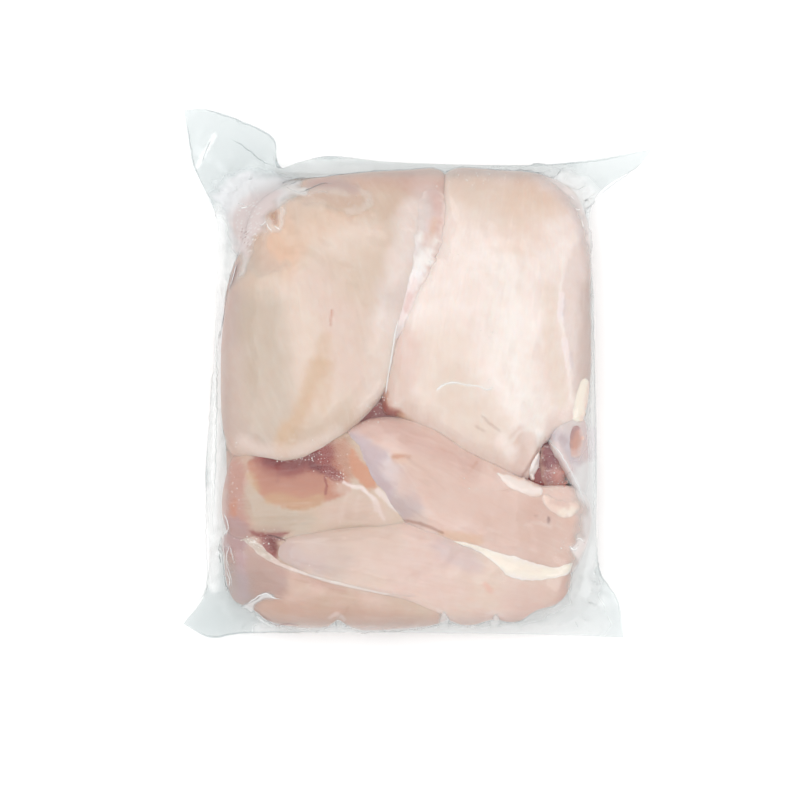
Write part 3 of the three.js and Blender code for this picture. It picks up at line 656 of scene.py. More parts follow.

# Marks on the film: milky, bright, warm and dark places, over the meat and off it. The bright ones are
# painted light: painted highlights, and whiter milk that lifts the film where it lies in shade.
FILM_MARKS = [
    Mark("film", 0.3, 50, 14, [(-144, 160), (-112, 128)]),
    Mark("film", 0.28, 40, 14, [(-144, -152), (-126, -140)]),
    Mark("film", 0.2, 36, 14, [(126, -160), (114, -146)]),
    Mark("film", 0.2, 30, 14, [(145, 143), (120, 124)]),
    Mark("film_grey", 0.26, 7, 5, [(-84, 126), (-20, 128), (60, 127), (92, 126)]),
    # painted light: the base flange lifted out of the pack's shadow
    Mark("frost_and_painted_light", 0.34, 7, 4, [(-98, -157), (-40, -158), (60, -158), (106, -155)]),
    Mark("frost_and_painted_light", 0.12, 3, 5, [(-125, 100), (-124, 40), (-124, -20), (-126, -80), (-127, -128)]),
    Mark("frost_and_painted_light", 0.36, 2, 4, [(106, 88), (107, 20), (107, -40), (107, -112)]),
    Patch("mist", 0.86, 9, [(-128, 112), (-112, 126), (-92, 124), (-74, 119), (-76, 112), (-80, 107),
        (-86, 101), (-92, 106), (-106, 104), (-118, 98)]),
    Patch("haze_pink", 0.78, 9, [(-118, 98), (-110, 108), (-98, 113), (-86, 111), (-89, 103), (-93, 95),
        (-94.5, 84), (-98, 76), (-105, 68), (-111, 72), (-116, 84)]),
    Patch("sand", 0.35, 7, [(-95, 84), (-93.5, 75), (-90, 69), (-85, 64.5), (-80, 65), (-82, 61), (-92, 58),
        (-104, 62), (-103, 78), (-97, 86)]),
    Patch("oat", 0.35, 6, [(-75, 110), (-66, 113.5), (-50, 110), (-36, 111), (-31, 106), (-34, 98),
        (-44, 96), (-58, 101), (-72, 104)]),
    Mark("frost_and_painted_light", 0.22, 1.0, 3.4, [(-40, 111), (-33, 109), (-31, 104), (-35, 98.4), (-44, 97)]),
    Mark("frost_and_painted_light", 0.7, 2.6, 3.0, [(-84, 115.6), (-78, 112), (-72, 111), (-66, 112), (-58, 113)]),
    Mark("frost_and_painted_light", 0.25, 1.4, 4, [(-66, 111), (-58, 112.4), (-46, 109)]),
    Patch("mauve", 0.6, 2.6, [(-111.5, 90), (-108.5, 90.5), (-104.5, 82), (-103.5, 74), (-105.5, 72.5),
        (-109, 80)], 1.8),
    # painted glints on the film at the top left, broken into specks
    Patch("painted_highlight", 0.7, 1.8, [(-113, 104), (-100, 106), (-97, 94), (-101, 78), (-105.5, 71), (-110, 80),
        (-114, 92)], 2.2),
    Patch("dusk", 0.35, 2.4, [(-112, 67.5), (-110, 67), (-110.6, 62), (-113, 55), (-116, 50), (-117.8, 49),
        (-117, 56), (-114.5, 62)]),
    Patch("frost_and_painted_light", 0.5, 3.4, [(-107.5, 71), (-105, 68.5), (-106, 63), (-109.5, 57), (-112.5, 53),
        (-112, 57), (-109.5, 64)]),
    Patch("terracotta", 0.5, 1.6, [(-90.4, 97.6), (-87.4, 98.4), (-86.6, 94), (-88, 89.6), (-90.6, 89.6),
        (-91.4, 93)]),
    Mark("frost_and_painted_light", 0.35, 1.0, 2.6, [(-93, 92), (-90, 87), (-86, 86), (-84.4, 92), (-84, 99)]),
    Mark("veil", 0.12, 4, 9, [(-114, 44), (-116, 20)]),
    Mark("veil", 0.3, 3, 4, [(-66, 116), (-52, 116), (-40, 112)]),
    Mark("film", 0.0, 1.1, 1.4, [(-126.4, 146), (-131, 138), (-137, 127)]),
    Patch("frost_and_painted_light", 0.62, 20, [(76, 127), (96, 124), (112, 116), (112, 84), (105, 80), (101, 93), (94, 104),
        (84, 116)]),
    # painted light: lifts the film's shaded steep wall at the top right
    Patch("painted_highlight", 0.5, 9, [(80, 122), (90, 114), (97.4, 105), (101.6, 91), (103.6, 76), (110, 74),
        (113, 112), (94, 127)]),
    Patch("haze_lilac", 0.25, 6, [(78, -43), (80, -37), (86, -34), (92, -32), (99, -31), (104, -38),
        (105, -60), (105, -90), (99.5, -80), (96.6, -74.4), (92, -67.6), (87.8, -61.4), (80.5, -50.4)]),
    Patch("frost_and_painted_light", 0.75, 9, [(95, -56), (102, -48), (109, -50), (109, -96), (101, -92), (96, -80),
        (91, -64)]),
    Patch("haze_lilac", 0.35, 7, [(99, -33), (106, -33), (106, -53), (99, -52)]),
    # painted light, here and in the wide patch below: the film beside the meat at the lower right lifted
    # out of its shade
    Patch("frost_and_painted_light", 0.7, 9, [(96, -88), (107, -90), (107, -134), (94, -138), (90, -126), (91, -112),
        (95, -100)]),
    Mark("painted_highlight", 0.6, 3, 4, [(94, -108), (98, -104)]),
    Patch("frost_and_painted_light", 0.35, 14, [(64, -158), (72, -147), (84, -142), (92, -132), (94, -122), (104, -124),
        (114, -140), (118, -160)]),
    Patch("frost_and_painted_light", 0.6, 2.5, [(43, -153), (42.6, -149.4), (44.6, -146), (47, -149), (48, -152)]),
    Patch("frost_and_painted_light", 0.6, 2.5, [(12, -153), (11, -149.6), (14.2, -145), (17, -149), (18, -152.4)]),
    # painted highlight along a fold of the film at the lower left
    Patch("frost_and_painted_light", 0.75, 1.8, [(-108, -142), (-103, -139.6), (-98, -136.6), (-93.3, -133.4), (-89, -134.4),
        (-87, -136.6), (-92.2, -137), (-96.2, -138), (-99.7, -141), (-101.4, -144.6), (-103.4, -144.6),
        (-104.6, -142.8)]),
    Patch("haze_pink", 0.45, 3, [(-121, -104), (-115.4, -104), (-112.6, -116), (-111.6, -136), (-118, -134),
        (-121, -120)], 2.6),
    Mark("frost_and_painted_light", 0.25, 3, 4, [(-120, -60), (-120, -84), (-119.5, -104)]),
]

# Fine creases of the film, laid on it as thin ribbons: tone, strength, width and line. The bright ribbons
# are painted highlights along the folds; the dark crease-toned ones draw the sealed edges and painted shade
# along the folds.
Crease = namedtuple("Crease", "tone strength width points")
CREASES = [
    Crease("crease", 0.4, 1.0, [(-117, 145.5), (-108, 140), (-99, 134), (-93, 130.5), (-90.5, 129.8)]),
    Crease("crease", 0.45, 1.0, [(-128, 144.7), (-131.5, 136.5), (-135, 128)]),
    Crease("crease", 0.6, 0.9, [(-81.4, 115.1), (-77.2, 118.2), (-70.6, 121.2)]),
    Crease("crease", 0.65, 0.9, [(-74.8, 110.3), (-70.6, 110.9), (-65.2, 113.9), (-58.6, 116.3),
        (-53.8, 115.7)]),
    Crease("frost_and_painted_light", 0.7, 0.9, [(-83.8, 115.7), (-78.4, 112.1), (-72.4, 109.1), (-67.6, 109.7)]),
    Crease("painted_highlight", 0.9, 1.3, [(-112, 103.4), (-108.5, 104), (-106, 104.6)]),
    Crease("painted_highlight", 0.85, 0.9, [(-98.4, 88.6), (-95.4, 90.7), (-93.5, 92.6)]),
    Crease("painted_highlight", 0.8, 0.9, [(-90, 89), (-87.6, 87.6), (-85, 85)]),
    Crease("tan", 0.7, 2.2, [(-89.6, 97.4), (-89.1, 94.6), (-88.9, 92)]),
    Crease("painted_highlight", 0.6, 1.4, [(74, -39), (79, -44.4), (84, -50.7), (90.4, -60.7), (97, -74.7),
        (102, -86)]),
    Crease("painted_highlight", 0.9, 1.4, [(88, -105), (92, -107.6), (95, -104)]),
    Crease("painted_highlight", 0.8, 1.2, [(92, -102), (96, -101), (99, -104)]),
    Crease("painted_highlight", 0.7, 0.9, [(-127, 40), (-126.4, 0), (-126, -40), (-127, -70), (-126, -100)]),
    Crease("crease", 0.3, 0.8, [(-125, 30), (-124.6, -20), (-125.4, -90)]),
    Crease("painted_highlight", 0.8, 0.8, [(-119.8, -84), (-116, -92), (-118, -100)]),
    Crease("painted_highlight", 0.7, 0.8, [(-115, -104), (-117, -112), (-114.4, -120)]),
    Crease("painted_highlight", 0.7, 0.8, [(-118, -118), (-115, -126), (-116.5, -132)]),
    Crease("painted_highlight", 0.8, 1.0, [(-107, -141.8), (-101, -138), (-93.4, -133.8), (-88, -136), (-82, -137.4)]),
    Crease("crease", 0.6, 0.9, [(-122.8, -109), (-122.4, -112.5), (-121.6, -116.5)]),
    Crease("slate", 0.55, 0.9, [(-119.8, -123.4), (-117.8, -128.4), (-115.1, -134)]),
    Crease("mauve", 0.5, 1.0, [(-99.7, -143.6), (-94.5, -147.8), (-88.7, -152.4), (-85.8, -153),
        (-82.9, -152), (-72.4, -152.6)]),
    Crease("painted_highlight", 0.6, 1.6, [(-101, -146.4), (-95, -151), (-90, -154)]),
    Crease("painted_highlight", 0.6, 0.8, [(-118.6, -88), (-119.4, -103), (-117.6, -115), (-114.4, -124),
        (-113.6, -134)]),
    Crease("painted_highlight", 0.6, 0.8, [(-115.6, -104), (-113.4, -110), (-112, -116)]),
    Crease("slate", 0.4, 0.9, [(-111, 67), (-113.6, 59.6), (-116.8, 50.6)]),
    Crease("mauve", 0.4, 0.8, [(-112.6, 66), (-115.2, 59), (-118, 51)]),
    Crease("painted_highlight", 0.9, 0.8, [(-111.8, 67), (-114.4, 59), (-117.2, 50)]),
    Crease("painted_highlight", 0.8, 0.9, [(-94.6, 91.4), (-91.6, 87), (-90, 84)]),
    Crease("painted_highlight", 0.8, 0.9, [(-113.6, 107), (-110.6, 106.4), (-108.6, 106)]),
    Crease("crease", 0.3, 0.8, [(-51, -149), (-51.3, -153), (-51, -157.6)]),
    Crease("crease", 0.3, 0.8, [(16.9, -150), (17.2, -154), (16.9, -157.6)]),
    Crease("painted_highlight", 0.5, 0.8, [(105, -40), (106, -60), (105.6, -92)]),
    Crease("painted_highlight", 0.6, 0.8, [(107, -88), (107.4, -108), (107, -128)]),
    Crease("crease", 0.22, 0.8, [(106.8, 60), (107, 10), (107.2, -40), (107.4, -90)]),
    Crease("painted_highlight", 0.8, 0.9, [(92.5, 109.6), (94, 108.6), (95, 107)]),
    Crease("painted_highlight", 0.8, 0.9, [(98.8, 107.4), (100.6, 105.4), (100.4, 102.6)]),
    Crease("painted_highlight", 0.8, 0.9, [(94.6, 101.2), (97, 100.4), (99.4, 101.6)]),
    Crease("painted_highlight", 0.7, 0.8, [(98.8, 95), (99.6, 91), (99.4, 88)]),
    Crease("crease", 0.35, 1.1, [(141, 134.6), (130, 126.6), (120, 119), (110, 111)]),
    Crease("crease", 0.25, 0.9, [(143, 141.6), (124, 137.4), (106, 134.2), (68, 131.2), (24, 132.2)]),
    Crease("crease", 0.3, 0.9, [(-143.4, 157), (-140, 136), (-138.8, 128), (-127, 101)]),
    Crease("crease", 0.3, 0.9, [(-141, 159.6), (-131.8, 160.2), (-111.2, 155.1), (-91, 145), (-89.8, 130)]),
    Crease("crease", 0.3, 0.9, [(-143, -151), (-137, -141), (-130.4, -131), (-130.8, -100), (-130.8, -60)]),
    Crease("crease", 0.3, 0.9, [(-143, -152.6), (-129, -160), (-110, -157.8), (-60, -157.4)]),
    Crease("crease", 0.2, 0.9, [(123.4, -158), (120.4, -138), (109, -120), (108.4, -90)]),
]

# Creases: points across, the step along, how uneven, how proud of the film, the part of its length
# over which each end tapers, how thin it gets there, and its height where it misses the film.
CREASE = {"across": 5, "step": 1.1, "least": 8, "uneven": 0.25, "apart": 6, "proud": 0.08,
          "taper_from": -0.02, "taper_to": 0.25, "thin": 0.4, "missed": 20}

# Tiny bubbles under the film: middle, half reach along X and Y, and how many.
BUBBLES = [
    (-40, 105, 9, 7, 26), (40, 119, 34, 6, 60), (-50, -64, 8, 3, 12), (78, -62, 9, 15, 34),
    (-64, -53, 22, 5, 20), (28, -70, 9, 10, 6), (-24, -19, 8, 5, 24), (20, 72, 14, 4, 12),
    (40, 22, 9, 8, 14), (-112, -80, 4, 30, 22), (-104, 84, 8, 18, 26), (84, -108, 12, 6, 16),
    (-94, -106, 8, 4, 8), (8, 80, 6, 24, 18), (0, 0, 110, 130, 60), (-78, -54, 22, 1.6, 14),
    (-60, -50, 10, 3, 8), (-53, -63, 10, 6, 12), (-93, -99, 14, 5, 16), (-101, -103, 7, 5, 16),
    (-107, 82, 5, 14, 40), (-98, 94, 10, 14, 30), (97, 104, 12, 9, 30), (80, -56, 8, 12, 14),
    (82, -69, 9, 5, 18), (-28, -22, 6, 5, 18), (-26, -31, 12, 3, 8),
]


# Curves and unevenness

def open_curve(points, steps):
    """Points along a smooth curve through the given points, evenly spaced along its length."""
    line = np.array(points, float)
    if len(line) == 2:
        return line[0] + np.linspace(0, 1, steps)[:, None] * (line[1] - line[0])
    ends = np.vstack([2 * line[0] - line[1], line, 2 * line[-1] - line[-2]])
    return even_steps(blend_through(ends, STEPS["between"]), steps)


def closed_curve(points, steps):
    """The same for a closed outline. The first point isn't repeated."""
    line = np.array(points, float)
    ends = np.vstack([line[-1], line, line[0], line[1]])
    return even_steps(blend_through(ends, STEPS["between"]), steps + 1)[:-1]


def blend_through(ends, fine):
    """Centripetal curve through all but the first and last of the points."""
    knots = np.concatenate([[0], np.cumsum(np.linalg.norm(np.diff(ends, axis=0), axis=1) ** 0.5)])
    pieces = []
    for i in range(1, len(ends) - 2):
        t0, t1, t2, t3 = knots[i - 1:i + 3]
        p0, p1, p2, p3 = ends[i - 1:i + 3]
        t = np.linspace(t1, t2, fine, endpoint=False)[:, None]
        a1 = (t1 - t) / (t1 - t0) * p0 + (t - t0) / (t1 - t0) * p1
        a2 = (t2 - t) / (t2 - t1) * p1 + (t - t1) / (t2 - t1) * p2
        a3 = (t3 - t) / (t3 - t2) * p2 + (t - t2) / (t3 - t2) * p3
        b1 = (t2 - t) / (t2 - t0) * a1 + (t - t0) / (t2 - t0) * a2
        b2 = (t3 - t) / (t3 - t1) * a2 + (t - t1) / (t3 - t1) * a3
        pieces.append((t2 - t) / (t2 - t1) * b1 + (t - t1) / (t2 - t1) * b2)
    return np.vstack(pieces + [ends[-2][None]])


def even_steps(line, steps):
    length = np.concatenate([[0], np.cumsum(np.linalg.norm(np.diff(line, axis=0), axis=1))])
    share = np.linspace(0, length[-1], steps)
    return np.stack([np.interp(share, length, line[:, k]) for k in range(line.shape[1])], axis=1)


def ripples(points, wavelength, seed, waves=14, spread=(0.6, 1.6)):
    """Smooth unevenness about 1 high at each point, with hills about a wavelength apart."""
    draw = np.random.default_rng(seed)
    points = np.asarray(points, float)
    way = draw.normal(size=(waves, points.shape[1]))
    way /= np.linalg.norm(way, axis=1)[:, None]
    pitch = draw.uniform(*spread, waves) * 2 * math.pi / wavelength
    start = draw.uniform(0, 2 * math.pi, waves)
    return np.sin(points @ (way * pitch[:, None]).T + start).sum(1) / math.sqrt(waves)


def drift(points, wavelength, seed):
    """Two ripples at each point, to move its place by."""
    return np.column_stack([ripples(points, wavelength, seed), ripples(points, wavelength, seed + 1)])


def headings(line):
    """The way the line runs at each of its points."""
    way = np.gradient(line, axis=0)
    return way / np.linalg.norm(way, axis=1)[:, None]


def fade(value, start, end):
    """0 before start and 1 after end, with a smooth change between."""
    share = np.clip((value - start) / (end - start), 0, 1)
    return share * share * (3 - 2 * share)


def outline_distance(plan, outline):
    """Distance from each (x, y) to a closed outline, below 0 inside it."""
    ring = closed_curve(outline, STEPS["patch"])
    x, y = plan[:, 0], plan[:, 1]
    inside = np.zeros(len(plan), bool)
    for (x0, y0), (x1, y1) in zip(ring, np.roll(ring, -1, axis=0)):
        if y0 != y1:
            inside ^= ((y0 > y) != (y1 > y)) & (x < x0 + (x1 - x0) * (y - y0) / (y1 - y0))
    away = line_distance(plan, np.vstack([ring, ring[:1]]))
    return np.where(inside, -away, away)


def mark_share(mark, plan, seed):
    """How much of each (x, y) a Mark or Patch covers, from 0 to 1."""
    filled = isinstance(mark, Patch)
    points = np.array(mark.outline if filled else mark.points, float)
    reach = mark.soft + (2 if filled else 2 + mark.width / 2)
    near = (plan >= points.min(0) - reach).all(1) & (plan <= points.max(0) + reach).all(1)
    near = np.flatnonzero(near)
    share = np.zeros(len(plan))
    if not len(near):
        return share
    if filled:
        away = outline_distance(plan[near], mark.outline) + mark.soft / 2
    else:
        away = line_distance(plan[near], open_curve(mark.points, STEPS["mark"])) - mark.width / 2
    share[near] = 1 - fade(away, 0, mark.soft)
    if mark.fleck:
        share[near] *= fade(ripples(plan[near], mark.fleck, seed), FLECKS["from"], FLECKS["to"])
    return share


def line_distance(plan, points):
    """Distance from each (x, y) to a line of straight stretches."""
    line = np.array(points, float)
    nearest = np.full(len(plan), 1e9)
    for start, end in zip(line[:-1], line[1:]):
        way = end - start
        share = np.clip(((plan - start) @ way) / max(way @ way, 1e-9), 0, 1)
        nearest = np.minimum(nearest, np.linalg.norm(plan - start - share[:, None] * way, axis=1))
    return nearest


def linear(tone):
    """The colour of a face that is seen in this tone on the stage, in linear light."""
    value = np.array(TONES[tone]) / 255
    return np.where(value <= 0.04045, value / 12.92, ((value + 0.055) / 1.055) ** 2.4) / STAGE_LIGHT


def tinted(tint, tone, share):
    """A colour for each point, mixed with a tone by the share at that point."""
    share = share[:, None]
    return tint * (1 - share) + linear(tone) * share


# Meshes

def ball_points(subdivisions):
    """A bmesh of a ball with even faces, and its points."""
    bm = bmesh.new()
    bmesh.ops.create_icosphere(bm, subdivisions=subdivisions, radius=1)
    bm.verts.ensure_lookup_table()
    return bm, np.array([v.co for v in bm.verts])


def finish_piece(name, bm, points, material):
    """Moves the bmesh's points, in millimetres, and makes it a piece that rides on the pack's body."""
    mesh = bpy.data.meshes.new(name)
    bm.to_mesh(mesh)
    bm.free()
    mesh.vertices.foreach_set("co", (np.asarray(points, float) * MM).astype(np.float32).ravel())
    mesh.polygons.foreach_set("use_smooth", np.ones(len(mesh.polygons), bool))
    mesh.materials.append(material)
    mesh.update()
    piece = bpy.data.objects.new(name, mesh)
    bpy.context.scene.collection.objects.link(piece)
    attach(piece, "root")
    return piece


def set_attribute(piece, name, kind, values):
    """Stores one value for each point: kind is FLOAT_COLOR or FLOAT_VECTOR."""
    attribute = piece.data.attributes.new(name, kind, "POINT")
    field = {"FLOAT_COLOR": "color", "FLOAT_VECTOR": "vector"}[kind]
    attribute.data.foreach_set(field, np.asarray(values, np.float32).ravel())


def set_look(piece, tint, fibre):
    """Stores the colour, and the place among the fibres, of each point."""
    set_attribute(piece, "Tint", "FLOAT_COLOR", np.column_stack([tint, np.ones(len(tint))]))
    set_attribute(piece, "Fibre", "FLOAT_VECTOR", fibre)


# Fillets

def pack_edge(plan):
    """How near each (x, y) is to the pack's side: 0 in the middle and 1 at the side."""
    reach = np.abs((plan - np.array(SIDE["middle"])) / np.array(SIDE["half"]))
    return (reach ** SIDE["power"]).sum(-1) ** (1 / SIDE["power"])


def side_bend(plan):
    """How far the meat at each (x, y) bends towards the pack's waist: 0 in the middle, 1 at the side."""
    return np.minimum(pack_edge(plan), SIDE["furthest"]) ** SIDE["bend"]


class FilletForm:
    """The rounded form of one fillet: its outline about a middle, its crown and its underside."""

    def __init__(self, facts, shape, seed):
        outline = closed_curve(facts["outline"], STEPS["fillet"])
        self.middle = (outline.max(0) + outline.min(0)) / 2
        arms = outline - self.middle
        order = np.argsort(np.arctan2(arms[:, 1], arms[:, 0]))
        self.angles = np.arctan2(arms[order, 1], arms[order, 0])
        self.arms = np.hypot(arms[order, 0], arms[order, 1])
        self.low, self.high, self.tilt = facts["low"], facts["high"], facts["tilt"]
        self.humps = facts["humps"]
        self.level = self.low + (self.high - self.low) * shape["widest"]
        self.power = shape["power"]
        self.under_power = shape["under_power"]
        self.seed = seed

    def arm(self, angle):
        return np.interp(angle, self.angles, self.arms, period=2 * math.pi)

    def crown(self, plan):
        """Height of the crown over each (x, y): lower at the pack's side, with lumps and dents."""
        height = self.high + (plan - self.middle) @ np.array(self.tilt)
        for hump in self.humps:
            away = np.hypot(plan[:, 0] - hump.x, plan[:, 1] - hump.y) / hump.reach
            height = height + hump.rise * np.exp(-away * away)
        height = height - SIDE["drop"] * side_bend(plan)
        for turn, (rise, apart) in enumerate(LUMPS):
            height = height + rise * ripples(plan, apart, self.seed + turn)
        return height

    def underside(self, plan):
        """Height of the underside: pressed flat by the table and rounded up to the pack's side."""
        return self.low + SIDE["rise"] * side_bend(plan)

    def place(self, ball):
        """Turns points of a ball into points of the fillet, its faces even in area."""
        radius = self.arms.mean()
        angle = np.arctan2(ball[:, 1], ball[:, 0])
        points = np.zeros((len(ball), 3))
        turn = np.linspace(0, math.pi / 2, STEPS["profile"])
        for side, power in ((1, self.power), (-1, self.under_power)):
            mask = ball[:, 2] >= 0 if side > 0 else ball[:, 2] < 0
            half = (self.high - self.level) if side > 0 else (self.level - self.low)
            reach, rise = np.sin(turn) ** (2 / power), np.cos(turn) ** (2 / power)
            rise[-1] = 0
            step = np.hypot(radius * np.diff(reach), half * np.diff(rise))
            skin = np.concatenate([[0], np.cumsum((reach[1:] + reach[:-1]) / 2 * step)])
            share = 1 - np.abs(ball[mask, 2])
            out = np.interp(share, skin / skin[-1], reach)
            up = np.interp(share, skin / skin[-1], rise)
            arm = self.arm(angle[mask]) * out
            way = np.stack([np.cos(angle[mask]), np.sin(angle[mask])], 1)
            plan = self.middle + way * arm[:, None]
            face = self.crown(plan) if side > 0 else self.underside(plan)
            points[mask] = np.column_stack([plan, self.level + up * (face - self.level)])
        return points

    def measure(self, plan, heights):
        """Rough shape function for columns of points, at each height over each (x, y).

        It is below 0 inside the fillet and above 0 outside, and has no unit.
        """
        arms = plan - self.middle
        out = np.hypot(arms[:, 0], arms[:, 1]) / self.arm(np.arctan2(arms[:, 1], arms[:, 0]))
        level = []
        for height in heights:
            over = height >= self.level
            power = self.power if over else self.under_power
            face = self.crown(plan) if over else self.underside(plan)
            up = np.abs((height - self.level) / (face - self.level))
            level.append((out ** power + up ** power) ** (1 / power) - 1)
        return np.stack(level, axis=1)


def fillet_seed(name):
    return SEEDS["fillets"] + 20 * [*UPPER, *LOWER].index(name)


def fillet_form(name):
    if name in UPPER:
        return FilletForm(UPPER[name], UPPER_SHAPE, fillet_seed(name))
    return FilletForm(LOWER[name], LOWER_SHAPE, fillet_seed(name))


def fibre_lines(points, form, grain):
    """Place along and across the muscle fibres, which draw together towards the fillet's ends."""
    angle = math.radians(grain)
    away = points[:, :2] - form.middle
    along = away @ np.array([math.cos(angle), math.sin(angle)])
    across = away @ np.array([-math.sin(angle), math.cos(angle)])
    half = np.abs(along).max()
    gathered = across * (1 + FIBRES["gather"] * (along / half) ** 2)
    return along, gathered


def fibre_relief(along, across, seed):
    """Height of the bundles of fibres, in millimetres."""
    place = np.column_stack([across, along * FIBRES["along"]])
    return FIBRES["height"] * ripples(place, FIBRES["apart"], seed)


def meat_tint(points, base, marks, seed):
    """Linear colour at each point: the base tones mixed in patches, then each mark in turn."""
    plan = points[:, :2]
    patch = (ripples(points, PATCHES["large"], seed + 5)
             + PATCHES["share"] * ripples(points, PATCHES["small"], seed + 6))
    tint = tinted(linear(base[0])[None], base[1], fade(patch, PATCHES["from"], PATCHES["to"]))
    ways = [drift(points, apart, seed + 7 + 2 * k) for k, (apart, _, _) in enumerate(STRAYING)]
    for mark in marks:
        spots = plan
        for way, (_, reach, soft) in zip(ways, STRAYING):
            spots = spots + way * reach * min(1.0, mark.soft / soft)
        tint = tinted(tint, mark.tone, mark.strength * mark_share(mark, spots, seed + 11))
    return tint


def make_fillet(name, material, subdivisions):
    """One fillet as a closed mesh, with its colour and fibre lines stored on its points."""
    facts = UPPER.get(name) or LOWER[name]
    form = fillet_form(name)
    seed = fillet_seed(name)
    bm, ball = ball_points(subdivisions)
    points = form.place(ball)
    along, across = fibre_lines(points, form, facts["grain"])
    points[:, 2] += np.where(ball[:, 2] >= 0, fibre_relief(along, across, seed + 2), 0)
    tint = meat_tint(points, facts["base"], MARKS.get(name, []), seed)
    up = np.abs(points[:, 2] - form.level) / (form.high - form.level)
    tint = tinted(tint, WALL["tone"], WALL["share"] * (1 - fade(up, WALL["from"], WALL["to"])))
    # partly membrane, partly painted light: the pale tone lifts the pack's shaded side
    side = fade(pack_edge(points[:, :2]), MEMBRANE_AND_PAINTED_LIGHT["from"], MEMBRANE_AND_PAINTED_LIGHT["to"])
    tint = tinted(tint, MEMBRANE_AND_PAINTED_LIGHT["tone"], MEMBRANE_AND_PAINTED_LIGHT["share"] * side)
    piece = finish_piece(name, bm, points, material)
    set_look(piece, tint, np.column_stack([along, across, points[:, 2]]) * MM)
    return piece


def make_heart(material):
    bm, ball = ball_points(HEART["detail"])
    power = HEART["power"]
    norm = (np.abs(ball) ** power).sum(1) ** (1 / power)
    points = ball / norm[:, None]
    level = (HEART["low"] + HEART["high"]) / 2
    points *= np.array([*HEART["half"], (HEART["high"] - HEART["low"]) / 2])
    points += np.array([*HEART["middle"], level])
    points[:, 2] += HEART["lump"] * ripples(points, HEART["lumps_apart"], SEEDS["heart"])
    piece = finish_piece("packed_heart", bm, points, material)
    uneven = ripples(points, HEART["patches"], SEEDS["heart"] + 2)
    shade = HEART["bright"] + HEART["uneven"] * uneven
    set_look(piece, np.clip(linear("heart") * shade[:, None], 0, 1), points * MM)
    return piece


# Fat, tendons and small pieces of meat

def surface_tree(names):
    """One search tree over the pieces of these names."""
    corners, faces = [], []
    for name in names:
        mesh = bpy.data.objects[name].data
        start = len(corners)
        corners.extend(v.co.copy() for v in mesh.vertices)
        faces.extend(tuple(start + i for i in p.vertices) for p in mesh.polygons)
    return BVHTree.FromPolygons(corners, faces)


def surface_height(tree, x, y, otherwise=30.0):
    """Height of the meat under the film at one place, in millimetres."""
    hit = tree.ray_cast(Vector((x * MM, y * MM, 0.1)), Vector((0, 0, -1)))[0]
    return hit.z / MM if hit else otherwise


def make_strip(name, strip, tree, material, seed, rings=(64, 20)):
    """A lens of fat, tendon or meat bent along its line and sunk into the meat it lies on."""
    bm = bmesh.new()
    bmesh.ops.create_uvsphere(bm, u_segments=rings[1], v_segments=rings[0], radius=1)
    ball = np.array([v.co for v in bm.verts])
    steps, smoothing = STRIP["steps"], STRIP["smooth"]
    line = open_curve(strip.points, steps)
    heights = np.array([surface_height(tree, *spot) for spot in line])
    heights = np.pad(heights, smoothing // 2, mode="edge")
    heights = np.convolve(heights, np.ones(smoothing) / smoothing, mode="valid")
    way = headings(line)
    share = (ball[:, 2] + 1) / 2 * (steps - 1)
    spot = np.stack([np.interp(share, range(steps), line[:, k]) for k in range(2)], 1)
    ahead = np.stack([np.interp(share, range(steps), way[:, k]) for k in range(2)], 1)
    side = np.column_stack([-ahead[:, 1], ahead[:, 0]])
    width = np.interp(share / (steps - 1), np.linspace(0, 1, len(strip.widths)), strip.widths)
    width = width * (1 + STRIP["uneven"] * ripples(spot, STRIP["uneven_apart"], seed))
    ring = np.sqrt(np.maximum(1 - ball[:, 2] ** 2, 1e-6))
    fuller = np.minimum(1, ring * STRIP["square"]) / ring
    across = ball[:, 0] * fuller
    up = ball[:, 1] * fuller
    plan = spot + side * (across * width / 2)[:, None]
    height = np.array([surface_height(tree, *p) for p in plan])
    centre = np.interp(share, range(steps), heights)
    settled = STRIP["follow"] * height + (1 - STRIP["follow"]) * centre
    sunk = STRIP["sunk"] * np.minimum(width, STRIP["widest"])
    relief = STRIP["relief"] * ripples(np.column_stack([plan, up]), STRIP["relief_apart"], seed + 1)
    z = settled - sunk + up * (strip.proud + sunk) + relief
    points = np.column_stack([plan, z])
    bmesh.ops.recalc_face_normals(bm, faces=bm.faces)
    piece = finish_piece(name, bm, points, material)
    tint = meat_tint(points, (strip.tone, strip.tone), MARKS.get(name, []), seed + 2)
    rim = np.abs(across) + STRIP["ragged"] * ripples(plan, STRIP["ragged_apart"], seed + 3)
    tint = tinted(tint, strip.edge_tone, fade(rim, STRIP["rim_from"], 1.0))
    set_look(piece, tint, np.column_stack([share * 0.5, across * width, z]) * MM)
    return piece


# Bubbles

def make_bubbles(tree, material):
    """All the bubbles as one mesh of flattened balls lying on the meat."""
    draw = np.random.default_rng(SEEDS["bubbles"])
    bm = bmesh.new()
    for x, y, reach_x, reach_y, count in BUBBLES:
        for _ in range(count):
            place = np.array([x, y]) + draw.normal(0, BUBBLE["spread"], 2) * (reach_x, reach_y)
            radius = BUBBLE["radius"] * math.exp(draw.normal(0, BUBBLE["uneven"]))
            radius = min(radius, BUBBLE["largest"])
            level = surface_height(tree, *place, 0)
            if level < BUBBLE["lowest"]:
                continue
            ball = bmesh.ops.create_icosphere(bm, subdivisions=1, radius=radius)["verts"]
            for vertex in ball:
                vertex.co.z *= BUBBLE["flat"]
                vertex.co += Vector((*place, level + BUBBLE["proud"]))
    points = np.array([v.co for v in bm.verts])
    return finish_piece("bubbles", bm, points, material)


# Film

